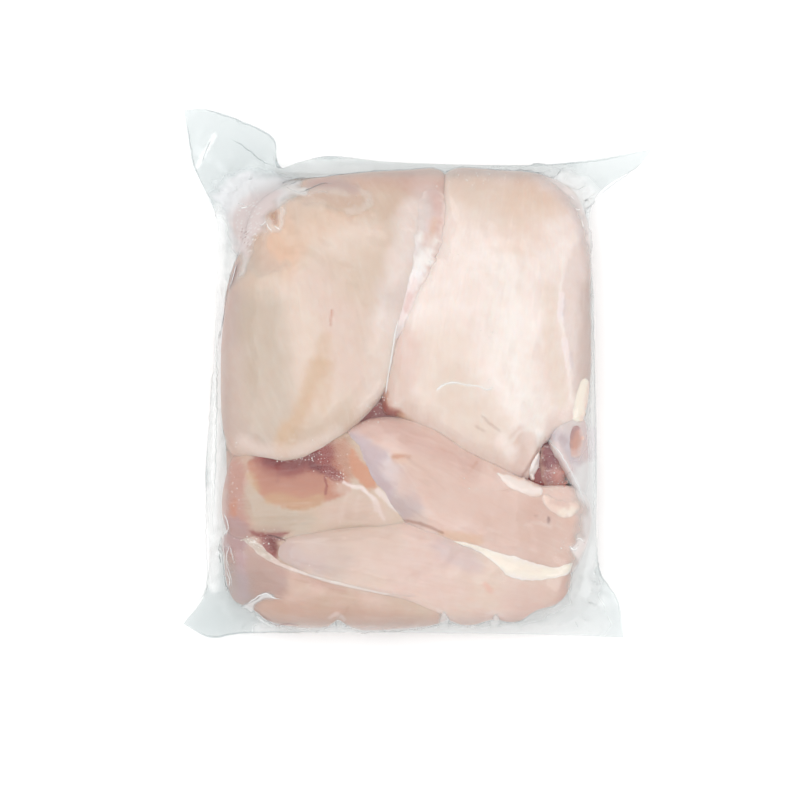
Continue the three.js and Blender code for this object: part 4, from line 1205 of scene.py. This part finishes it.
class MeatField:
    """Distance from the film to the meat on a grid of points round the pack, with its slope."""

    def __init__(self, pitch=1.5, margin=8.0, least_slope=0.008):
        self.pitch = pitch
        low = np.array([PACK_LOW.x, PACK_LOW.y, PACK_LOW.z]) / MM - margin
        high = np.array([PACK_HIGH.x, PACK_HIGH.y, PACK_HIGH.z]) / MM + margin
        self.low = low
        self.shape = tuple(int(math.ceil(s)) + 1 for s in (high - low) / pitch)
        across, along, up = [low[k] + pitch * np.arange(self.shape[k]) for k in range(3)]
        plan = np.stack(np.meshgrid(across, along, indexing="ij"), -1).reshape(-1, 2)
        self.distance = np.full(self.shape, 1e9)
        for name in [*UPPER, *LOWER]:
            level = fillet_form(name).measure(plan, up).reshape(self.shape)
            slope = np.sqrt(sum(g * g for g in np.gradient(level, pitch)))
            self.distance = np.minimum(self.distance, level / np.maximum(slope, least_slope))
        self.slope = np.stack(np.gradient(self.distance, pitch), -1)

    def sample(self, points):
        """Distance and outward direction at each point."""
        place = (points - self.low) / self.pitch
        limit = np.array(self.shape) - 1.001
        place = np.clip(place, 0, limit)
        cell = place.astype(int)
        part = place - cell
        distance = np.zeros(len(points))
        slope = np.zeros((len(points), 3))
        for corner in np.ndindex(2, 2, 2):
            index = tuple((cell + corner).T)
            weight = np.prod(np.where(corner, part, 1 - part), axis=1)
            distance += weight * self.distance[index]
            slope += weight[:, None] * self.slope[index]
        return distance, slope / np.maximum(np.linalg.norm(slope, axis=1), 1e-6)[:, None]


def bag_rim(across, along):
    """Rows of rim points: mouth and base from left to right, and both sides from base to mouth."""
    mouth = open_curve(BAG_EDGES["mouth"], across)
    base = open_curve(BAG_EDGES["base"], across)[::-1]
    right = open_curve(BAG_EDGES["right"], along)[::-1]
    left = open_curve(BAG_EDGES["left"], along)
    return base, mouth, left, right


def spread_between(base, mouth, left, right):
    """A smooth sheet spanning the four edges, as rows from base to mouth."""
    u = np.linspace(0, 1, len(base))[None, :, None]
    v = np.linspace(0, 1, len(left))[:, None, None]
    ruled = (1 - v) * base[None] + v * mouth[None] + (1 - u) * left[:, None] + u * right[:, None]
    corners = ((1 - u) * (1 - v) * base[0] + u * (1 - v) * base[-1]
               + (1 - u) * v * mouth[0] + u * v * mouth[-1])
    return ruled - corners


def sheet_normals(sheet):
    along_u = np.gradient(sheet, axis=1)
    along_v = np.gradient(sheet, axis=0)
    normal = np.cross(along_u, along_v)
    return normal / np.maximum(np.linalg.norm(normal, axis=2), 1e-9)[..., None]


def finer(sheet):
    """Twice as many cells each way."""
    rows = np.empty((sheet.shape[0] * 2 - 1, sheet.shape[1], 3))
    rows[::2] = sheet
    rows[1::2] = (sheet[1:] + sheet[:-1]) / 2
    full = np.empty((rows.shape[0], rows.shape[1] * 2 - 1, 3))
    full[:, ::2] = rows
    full[:, 1::2] = (rows[:, 1:] + rows[:, :-1]) / 2
    return full


def pressing(sheet):
    """How hard the air presses at each point of a sheet, from 1 on the pack to less at its corners."""
    away = [np.linalg.norm(sheet[..., :2] - np.array(corner), axis=-1) for corner in SLACK["corners"]]
    return 1 - SLACK["share"] * np.exp(-(np.minimum.reduce(away) / SLACK["reach"]) ** 2)


def keep_off_meat(sheet, field, gap):
    flat = sheet.reshape(-1, 3)
    distance, outward = field.sample(flat)
    push = np.maximum(gap - distance, 0)
    flat += outward * np.minimum(push, FILM["largest_push"])[:, None]
    flat[:, 2] = np.maximum(flat[:, 2], FILM["floor"])
    return flat.reshape(sheet.shape)


def press_together(upper, lower):
    """Lays the two sheets on each other where they meet."""
    middle = (upper + lower) / 2
    normals = sheet_normals(middle)
    apart = ((upper - lower) * normals).sum(2)
    ply = FILM["ply"] * normals / 2
    touching = (apart < FILM["ply"] * FILM["cling"])[..., None]
    upper[:] = np.where(touching, middle + ply, upper)
    lower[:] = np.where(touching, middle - ply, lower)


def neighbours(sheet):
    """The mean of the four neighbours of each point inside the sheet."""
    return (sheet[1:-1, :-2] + sheet[1:-1, 2:] + sheet[:-2, 1:-1] + sheet[2:, 1:-1]) / 4


def draw_tight(field):
    """Both sheets of the bag, sucked onto the meat and onto each other, as grids of points."""
    across, along = FILM["across"], FILM["along"]
    start = spread_between(*bag_rim(across, along))
    upper, lower = start.copy(), start.copy()
    lift = np.outer(np.sin(np.linspace(0, math.pi, along)), np.sin(np.linspace(0, math.pi, across)))
    lift = lift ** FILM["round"]
    upper[..., 2] += FILM["dome"] * lift
    lower[..., 2] = np.minimum(lower[..., 2], FILM["dip_from"] - FILM["dip"] * lift)
    for level in range(FILM["levels"]):
        if level:
            upper, lower = finer(upper), finer(lower)
            rim = bag_rim(upper.shape[1], upper.shape[0])
            for sheet in (upper, lower):
                sheet[0], sheet[-1], sheet[:, 0], sheet[:, -1] = rim
        for _ in range(FILM["rounds"][level]):
            for sheet, side in ((upper, 1), (lower, -1)):
                inside = sheet[1:-1, 1:-1]
                out = sheet_normals(sheet)[1:-1, 1:-1]
                push = side * FILM["pressure"][level] * pressing(inside)[..., None]
                moved = inside + FILM["relax"] * (neighbours(sheet) - inside) - push * out
                inside[:] = keep_off_meat(moved, field, FILM["gap"])
            press_together(upper[1:-1, 1:-1], lower[1:-1, 1:-1])
    return upper, lower


def clear_meat(sheet, tree):
    """Lifts the points of the upper sheet that still lie in meat or fat."""
    for row in sheet[1:-1, 1:-1]:
        for point in row:
            if point[2] > SETTLED["waist"]:
                clear = surface_height(tree, point[0], point[1], 0) + FILM["gap"]
                point[2] = max(point[2], clear)


def smooth(sheet, share):
    sheet[1:-1, 1:-1] += share * (neighbours(sheet) - sheet[1:-1, 1:-1])


def side_folds(seed):
    """Short folds all round the bag, running from its edge in towards the meat."""
    draw = np.random.default_rng(seed)
    middle = np.array(SIDE["middle"])
    folds = []
    for name, side in BAG_EDGES.items():
        rim = open_curve(side, SHORT_FOLDS["steps"])[:, :2]
        place = SHORT_FOLDS["ends"]
        while place < SHORT_FOLDS["steps"] - SHORT_FOLDS["ends"]:
            start = rim[int(place)]
            inward = (middle - start) / np.linalg.norm(middle - start)
            beside = np.array([-inward[1], inward[0]])
            lean = beside * draw.normal(0, SHORT_FOLDS["lean"])
            reach = draw.uniform(*SHORT_FOLDS["reach"])
            bend = beside * draw.normal(0, SHORT_FOLDS["bend"])
            end = start + (inward + lean) * reach
            rise = draw.choice([-1, 1]) * draw.uniform(*SHORT_FOLDS["rise"]) * FOLD_SIZES[name]
            width = draw.uniform(*SHORT_FOLDS["width"])
            folds.append(Fold(rise, width, [start, (start + end) / 2 + bend, end]))
            place += draw.uniform(*SHORT_FOLDS["apart"])
    return folds


def edge_cells(rows, columns):
    """How many cells each point of a grid is from its edge."""
    up, across = np.arange(rows), np.arange(columns)
    return np.minimum(np.minimum(up, up[::-1])[:, None], np.minimum(across, across[::-1])[None])


def fold_sheets(upper, lower, free):
    """Pushes the bag's folds into both sheets where the film hangs free."""
    apart = np.linalg.norm(upper - lower, axis=2)
    together = fade(apart, FOLD_FADE["apart"], FOLD_FADE["together"])[..., None]
    shared = sheet_normals((upper + lower) / 2)
    top = upper[..., :2].reshape(-1, 2)
    loose = fade(edge_cells(*upper.shape[:2]), 0, FOLD_FADE["cells"])
    push = np.zeros(len(top))
    for fold in FOLDS + side_folds(SEEDS["short_folds"]):
        line = open_curve(fold.points, STEPS["fold"])
        beside = FOLD_FADE["beside"] * fold.width
        near = (top >= line.min(0) - beside).all(1) & (top <= line.max(0) + beside).all(1)
        spots = top[near]
        away = line_distance(spots, line)
        ends = np.minimum(*(np.linalg.norm(spots - line[k], axis=1) for k in (0, -1)))
        full = FOLD_FADE["left"] + (1 - FOLD_FADE["left"]) * fade(ends, 0, FOLD_FADE["ends"] * fold.width)
        push[near] += fold.rise * np.exp(-(away / fold.width) ** 2) * full
    push = (push.reshape(free.shape) * loose * free)[..., None]
    own = sheet_normals(upper)
    way = own * (1 - together) + shared * together
    upper += way * push
    lower += shared * push * together


def film_haze_and_painted_light(sheet, free, up):
    """The film's milkiness at each point, with the painted highlights and painted light of its marks:
    colour, and amount in the fourth place.
    """
    points = sheet.reshape(-1, 3)
    plan = points[:, :2]
    cloud = CLOUD["usual"]
    for turn, (share, apart) in enumerate(CLOUD["patches"]):
        cloud = cloud + share * ripples(points, apart, SEEDS["film"] + turn)
    cloud = np.clip(cloud, CLOUD["least"], CLOUD["most"])
    colour = np.tile(linear("film"), (len(points), 1))
    outer = fade(pack_edge(plan), HAZE["from"], HAZE["to"])
    milky = HAZE["edge"] + (HAZE["free"] - HAZE["edge"]) * free.ravel()
    amount = HAZE["held"] + milky * outer * cloud
    way = drift(points, FILM_STRAYING["apart"], SEEDS["film"] + 2)
    for mark in FILM_MARKS:
        stray = min(FILM_STRAYING["reach"], mark.soft / FILM_STRAYING["soft"])
        share = mark_share(mark, plan + way * stray, SEEDS["film"] + 4)
        if not up and isinstance(mark, Patch):
            share = share * HAZE["under"]
        colour = tinted(colour, mark.tone, share)
        amount += share * (mark.strength - amount)
    return np.column_stack([colour, np.clip(amount, 0, 1)])


def make_sheet(name, sheet, free, material, up):
    rows, columns = sheet.shape[:2]
    bm = bmesh.new()
    bmesh.ops.create_grid(bm, x_segments=columns - 1, y_segments=rows - 1, size=1)
    if not up:
        bmesh.ops.reverse_faces(bm, faces=bm.faces)
    piece = finish_piece(name, bm, sheet.reshape(-1, 3), material)
    set_attribute(piece, "Haze", "FLOAT_COLOR", film_haze_and_painted_light(sheet, free, up))
    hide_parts(PACK)
    return piece


def make_bag(material, tree):
    """The bag: an upper and a lower sheet that meet along the rim."""
    field = MeatField()
    upper, lower = draw_tight(field)
    for _ in range(SETTLED["rounds"]):
        clear_meat(upper, tree)
        smooth(upper, SETTLED["smooth"])
        upper[1:-1, 1:-1] = keep_off_meat(upper[1:-1, 1:-1], field, FILM["gap"])
    clear_meat(upper, tree)
    frees = []
    for sheet in (upper, lower):
        distance = field.sample(sheet.reshape(-1, 3))[0].reshape(sheet.shape[:2])
        frees.append(fade(distance, SETTLED["free_from"], SETTLED["free_to"]))
    for _ in range(SETTLED["free_rounds"]):
        for sheet, free in zip((upper, lower), frees):
            smooth(sheet, free[1:-1, 1:-1, None] * SETTLED["free_smooth"])
        press_together(upper[1:-1, 1:-1], lower[1:-1, 1:-1])
    lifted = upper.copy()
    clear_meat(lifted, tree)
    inner = pack_edge(upper[..., :2]) < SETTLED["lift_to"]
    upper[inner] = lifted[inner]
    fold_sheets(upper, lower, frees[0])
    lower[..., 2] = np.maximum(lower[..., 2], FILM["floor"])
    make_sheet("bag_upper_film", upper, frees[0], material, True)
    make_sheet("bag_lower_film", lower[::2, ::2], frees[1][::2, ::2], material, False)


def lay_creases(material):
    """The fine creases as one mesh of narrow strips, milky along the middle and clear at the edges; the
    milk carries painted highlights and painted shade.
    """
    tree = surface_tree(["bag_upper_film"])
    across = np.linspace(-1, 1, CREASE["across"])
    bm = bmesh.new()
    points, haze = [], []
    for crease in CREASES:
        length = np.linalg.norm(np.diff(np.array(crease.points, float), axis=0), axis=1).sum()
        steps = max(CREASE["least"], int(length / CREASE["step"]))
        bmesh.ops.create_grid(bm, x_segments=len(across) - 1, y_segments=steps - 1, size=1)
        line = open_curve(crease.points, steps)
        line += CREASE["uneven"] * drift(line, CREASE["apart"], SEEDS["creases"])
        ends = np.minimum(np.arange(steps), np.arange(steps)[::-1]) / steps
        taper = fade(ends, CREASE["taper_from"], CREASE["taper_to"])
        for spot, ahead, full in zip(line, headings(line), taper):
            half = crease.width / 2 * (CREASE["thin"] + (1 - CREASE["thin"]) * full)
            for place in across:
                x, y = spot[0] + ahead[1] * place * half, spot[1] - ahead[0] * place * half
                points.append((x, y, surface_height(tree, x, y, CREASE["missed"]) + CREASE["proud"]))
                haze.append((*linear(crease.tone), crease.strength * full * (1 - place * place)))
    piece = finish_piece("film_creases", bm, points, material)
    set_attribute(piece, "Haze", "FLOAT_COLOR", haze)


# Materials

def put_settings(node, settings):
    """Sets a node's inputs, by name or number, and its own settings, by name."""
    for key, value in settings.items():
        if isinstance(key, int) or key in node.inputs:
            node.inputs[key].default_value = value
        else:
            setattr(node, key, value)


def socket(sockets, key):
    return sockets[int(key)] if key.isdigit() else sockets[key]


def new_material(name, nodes, links):
    """A material made of nodes, each a kind with its settings, and of links from output to input."""
    material = bpy.data.materials.new(name)
    material.use_nodes = True
    tree = material.node_tree
    tree.nodes.clear()
    made = {"out": tree.nodes.new("ShaderNodeOutputMaterial")}
    for key, (kind, settings) in nodes.items():
        made[key] = tree.nodes.new("ShaderNode" + kind)
        put_settings(made[key], settings)
    for link in links:
        (source, output), (target, entry) = (end.split(".") for end in link.split(" > "))
        tree.links.new(socket(made[source].outputs, output), socket(made[target].inputs, entry))
    return material


def noise(scale, detail, roughness):
    return "TexNoise", {"Scale": scale, "Detail": detail, "Roughness": roughness}


def ranged(low, high, to_low, to_high=1.0):
    """Spreads what lies from low to high over another range."""
    return "MapRange", {"From Min": low, "From Max": high, "To Min": to_low, "To Max": to_high}


def multiply(settings):
    """Darkens colour 6 by colour 7, by the share in 0."""
    return "Mix", {"data_type": "RGBA", "blend_type": "MULTIPLY", **settings}


def soaked(settings, radius, scale):
    """What light does in meat or fat."""
    return {"Subsurface Weight": settings.translucency, "Subsurface Radius": radius,
            "Subsurface Scale": scale}


TINT = ("Attribute", {"attribute_name": "Tint"})
FIBRE = ("Attribute", {"attribute_name": "Fibre"})
OUTPUT_LINKS = ["bump.Normal > shader.Normal", "shader.BSDF > out.Surface"]


def meat_material(settings):
    return new_material("raw_chicken", {
        "shader": ("BsdfPrincipled", {"Roughness": 0.5, "Specular IOR Level": 0.12,
                                      **soaked(settings, (1.0, 0.45, 0.3), 0.004)}),
        "tint": TINT,
        "fibre": FIBRE,
        "stretch": ("Mapping", {"Scale": (60, 900, 200)}),
        "threads": noise(1.0, 3.0, 0.6),
        "streak_map": ("Mapping", {"Scale": (35, 320, 100)}),
        "streaks": noise(1.0, 4.0, 0.55),
        "whiter": ranged(0.55, 0.8, 0.0, 0.14),
        "pale": ("Mix", {"data_type": "RGBA", 7: (*linear("white"), 1)}),
        "shade": multiply({0: 0.22}),
        "gray": ranged(0.3, 0.7, 0.82),
        "place": ("TexCoord", {}),
        "mottle": noise(150.0, 5.0, 0.62),
        "patchy": ranged(0.32, 0.68, 0.0, 0.8),
        "spotted": multiply({7: (0.97, 0.9, 0.87, 1)}),
        "bump": ("Bump", {"Strength": 0.35, "Distance": 0.0003}),
    }, [
        "place.Object > mottle.Vector", "mottle.Fac > patchy.Value",
        "fibre.Vector > stretch.Vector", "fibre.Vector > streak_map.Vector",
        "stretch.Vector > threads.Vector", "streak_map.Vector > streaks.Vector",
        "streaks.Fac > whiter.Value", "whiter.Result > pale.0", "tint.Color > pale.6",
        "threads.Fac > gray.Value", "pale.2 > shade.6", "gray.Result > shade.7",
        "shade.2 > spotted.6", "patchy.Result > spotted.0", "spotted.2 > shader.Base Color",
        "threads.Fac > bump.Height", *OUTPUT_LINKS,
    ])


def fat_material(settings):
    return new_material("chicken_fat", {
        "shader": ("BsdfPrincipled", {"Roughness": 0.36, **soaked(settings, (1.0, 0.7, 0.5), 0.003)}),
        "tint": TINT,
        "fibre": FIBRE,
        "grains": noise(420.0, 3.0, 0.6),
        "shade": multiply({0: 0.3}),
        "gray": ranged(0.3, 0.7, 0.85),
        "bump": ("Bump", {"Strength": 0.3, "Distance": 0.0003}),
    }, [
        "fibre.Vector > grains.Vector", "grains.Fac > gray.Value", "tint.Color > shade.6",
        "gray.Result > shade.7", "shade.2 > shader.Base Color", "grains.Fac > bump.Height",
        *OUTPUT_LINKS,
    ])


def film_material(settings):
    # Facing is the same from both sides of the film, which the Fresnel node isn't.
    return new_material("clear_film", {
        "milk": ("Attribute", {"attribute_name": "Haze"}),
        "clear": ("BsdfTransparent", {"Color": (*settings.tint, 1)}),
        "gloss": ("BsdfGlossy", {"Roughness": settings.roughness}),
        "front": ("BsdfDiffuse", {}),
        "through": ("BsdfTranslucent", {}),
        "haze": ("MixShader", {0: 0.25}),
        "facing": ("LayerWeight", {"Blend": 0.5}),
        "steep": ("Math", {"operation": "POWER", 1: 5.0}),
        "mirror": ranged(0.0, 1.0, 0.05, 0.5),
        "place": ("TexCoord", {}),
        "crinkle": noise(90.0, 3.0, 0.55),
        "bump": ("Bump", {"Strength": 0.25, "Distance": 0.0006}),
        "body": ("MixShader", {}),
        "skin": ("MixShader", {}),
    }, [
        "place.Object > crinkle.Vector", "crinkle.Fac > bump.Height", "bump.Normal > gloss.Normal",
        "milk.Color > front.Color", "milk.Color > through.Color", "front.0 > haze.1",
        "through.0 > haze.2", "milk.Alpha > body.0", "clear.0 > body.1", "haze.0 > body.2",
        "facing.Facing > steep.0", "steep.0 > mirror.Value", "mirror.0 > skin.0", "body.0 > skin.1",
        "gloss.0 > skin.2", "skin.0 > out.Surface",
    ])


def bubble_glint_material():
    # the white colour is a painted highlight: it stands in for the light each tiny bubble catches
    shader = ("BsdfPrincipled", {"Roughness": 0.15, "Base Color": (*linear("white"), 1)})
    return new_material("bubbles", {"shader": shader}, ["shader.BSDF > out.Surface"])


def floor_material(settings):
    shader = ("BsdfDiffuse", {"Color": (*settings.floor_colour, 1)})
    return new_material("pale_table", {"shader": shader}, ["shader.0 > out.Surface"])


# Settings, operators and panel

class MeatSettings(bpy.types.PropertyGroup):
    translucency: bpy.props.FloatProperty(
        name="Translucency", description="How far light soaks into the meat", default=0.3,
        min=0, max=1, subtype="FACTOR")
    detail: bpy.props.IntProperty(
        name="Detail", description="Subdivisions of each fillet", default=7, min=4, max=7)


class FilmSettings(bpy.types.PropertyGroup):
    tint: bpy.props.FloatVectorProperty(
        name="Tint", description="What the film lets through", default=(0.975, 0.985, 0.985),
        size=3, min=0, max=1, subtype="COLOR")
    roughness: bpy.props.FloatProperty(
        name="Roughness", description="How blurred the film's reflections are", default=0.12,
        min=0, max=1, subtype="FACTOR")


class StageSettings(bpy.types.PropertyGroup):
    floor_colour: bpy.props.FloatVectorProperty(
        name="Table", description="Colour of the table", default=(0.97, 0.97, 0.97),
        size=3, min=0, max=1, subtype="COLOR")
    sky: bpy.props.FloatProperty(
        name="Room light", description="Strength of the light from all round", default=1.15, min=0)
    lamp: bpy.props.FloatProperty(
        name="Lamp", description="Power of the large soft lamp", default=5.0, min=0,
        subtype="POWER", unit="POWER")


class CHICKEN_OT_fillets(bpy.types.Operator):
    """Adds the fillets of both layers and the dark meat between them"""
    bl_idname = "chicken.fillets"
    bl_label = "Fillets"

    def execute(self, context):
        settings = context.scene.chicken_meat
        material = meat_material(settings)
        for name in UPPER:
            make_fillet(name, material, settings.detail)
        for name in LOWER:
            make_fillet(name, material, settings.detail - 1)
        make_heart(material)
        return {"FINISHED"}


class CHICKEN_OT_fat(bpy.types.Operator):
    """Adds the fat and tendons that lie on the fillets"""
    bl_idname = "chicken.fat"
    bl_label = "Fat and Tendons"

    def execute(self, context):
        material = fat_material(context.scene.chicken_meat)
        tree = surface_tree([*UPPER, "packed_heart"])
        for turn, (name, strip) in enumerate({**FAT, **TENDONS}.items()):
            make_strip(name, strip, tree, material, SEEDS["strips"] + 10 * turn)
        material = bpy.data.materials["raw_chicken"]
        for turn, (name, strip) in enumerate(MEAT_BITS.items()):
            make_strip(name, strip, tree, material, SEEDS["meat_bits"] + 10 * turn)
        return {"FINISHED"}


class CHICKEN_OT_bubbles(bpy.types.Operator):
    """Adds the tiny bubbles caught between the meat and the film"""
    bl_idname = "chicken.bubbles"
    bl_label = "Bubbles"

    def execute(self, context):
        make_bubbles(surface_tree(SHOWN), bubble_glint_material())
        return {"FINISHED"}


class CHICKEN_OT_bag(bpy.types.Operator):
    """Adds the vacuum bag, drawn tight over the fillets"""
    bl_idname = "chicken.bag"
    bl_label = "Vacuum Bag"

    def execute(self, context):
        tree = surface_tree(SHOWN)
        material = film_material(context.scene.chicken_film)
        make_bag(material, tree)
        lay_creases(material)
        return {"FINISHED"}


class CHICKEN_OT_stage(bpy.types.Operator):
    """Adds the table, the soft light and the photograph's camera"""
    bl_idname = "chicken.stage"
    bl_label = "Stage"

    def execute(self, context):
        scene = context.scene
        settings = scene.chicken_stage
        bm = bmesh.new()
        bmesh.ops.create_grid(bm, x_segments=1, y_segments=1, size=4)
        mesh = bpy.data.meshes.new("table")
        bm.to_mesh(mesh)
        bm.free()
        mesh.materials.append(floor_material(settings))
        table = bpy.data.objects.new("table", mesh)
        scene.collection.objects.link(table)
        world = bpy.data.worlds.new("studio")
        world.use_nodes = True
        put_settings(world.node_tree.nodes["Background"], {"Color": (1, 1, 1, 1), "Strength": settings.sky})
        scene.world = world
        for name, (place, width, share) in LAMPS.items():
            add_lamp(name, place, width, settings.lamp * share)
        add_camera(scene)
        scene.view_settings.view_transform = "Standard"
        return {"FINISHED"}


def add_lamp(name, place, size, power):
    lamp = bpy.data.lights.new(name, "AREA")
    lamp.shape = "DISK"
    lamp.size = size
    lamp.energy = power
    holder = bpy.data.objects.new(name, lamp)
    holder.location = place
    holder.rotation_euler = (-Vector(place)).to_track_quat("-Z", "Y").to_euler()
    bpy.context.scene.collection.objects.link(holder)


def add_camera(scene):
    camera = bpy.data.cameras.new("photo_camera")
    camera.sensor_width = CAMERA["sensor"]
    camera.lens = CAMERA["sensor"] * CAMERA["distance"] / CAMERA["view_width"]
    camera.clip_start = 0.01
    holder = bpy.data.objects.new("photo_camera", camera)
    tilt = math.radians(CAMERA["elevation"])
    back = Vector((0, -math.cos(tilt), math.sin(tilt)))
    holder.location = (Vector(CAMERA["aim"]) + back * CAMERA["distance"]) * MM
    holder.rotation_euler = (math.radians(90) - tilt, 0, 0)
    scene.collection.objects.link(holder)
    scene.camera = holder


class CHICKEN_PT_panel(bpy.types.Panel):
    """Buttons and settings for the bag of fillets"""
    bl_idname = "CHICKEN_PT_panel"
    bl_label = "Bag of Chicken Breasts"
    bl_space_type = "VIEW_3D"
    bl_region_type = "UI"
    bl_category = "Chicken Bag"

    def draw(self, context):
        scene = context.scene
        for group in (scene.chicken_meat, scene.chicken_film, scene.chicken_stage):
            box = self.layout.box()
            for name in group.bl_rna.properties.keys():
                if name not in ("rna_type", "name"):
                    box.prop(group, name)
        for operator in OPERATORS:
            self.layout.operator(operator.bl_idname)


OPERATORS = (CHICKEN_OT_stage, CHICKEN_OT_fillets, CHICKEN_OT_fat, CHICKEN_OT_bubbles, CHICKEN_OT_bag)
CLASSES = (MeatSettings, FilmSettings, StageSettings, *OPERATORS, CHICKEN_PT_panel)
GROUPS = {"chicken_meat": MeatSettings, "chicken_film": FilmSettings, "chicken_stage": StageSettings}


def register():
    for kind in CLASSES:
        bpy.utils.register_class(kind)
    for name, group in GROUPS.items():
        setattr(bpy.types.Scene, name, bpy.props.PointerProperty(type=group))


def unregister():
    for name in GROUPS:
        delattr(bpy.types.Scene, name)
    for kind in reversed(CLASSES):
        bpy.utils.unregister_class(kind)


def main():
    register()
    bpy.ops.chicken.stage()
    bpy.ops.chicken.fillets()
    bpy.ops.chicken.fat()
    bpy.ops.chicken.bubbles()
    bpy.ops.chicken.bag()


if __name__ == "__main__":
    main()
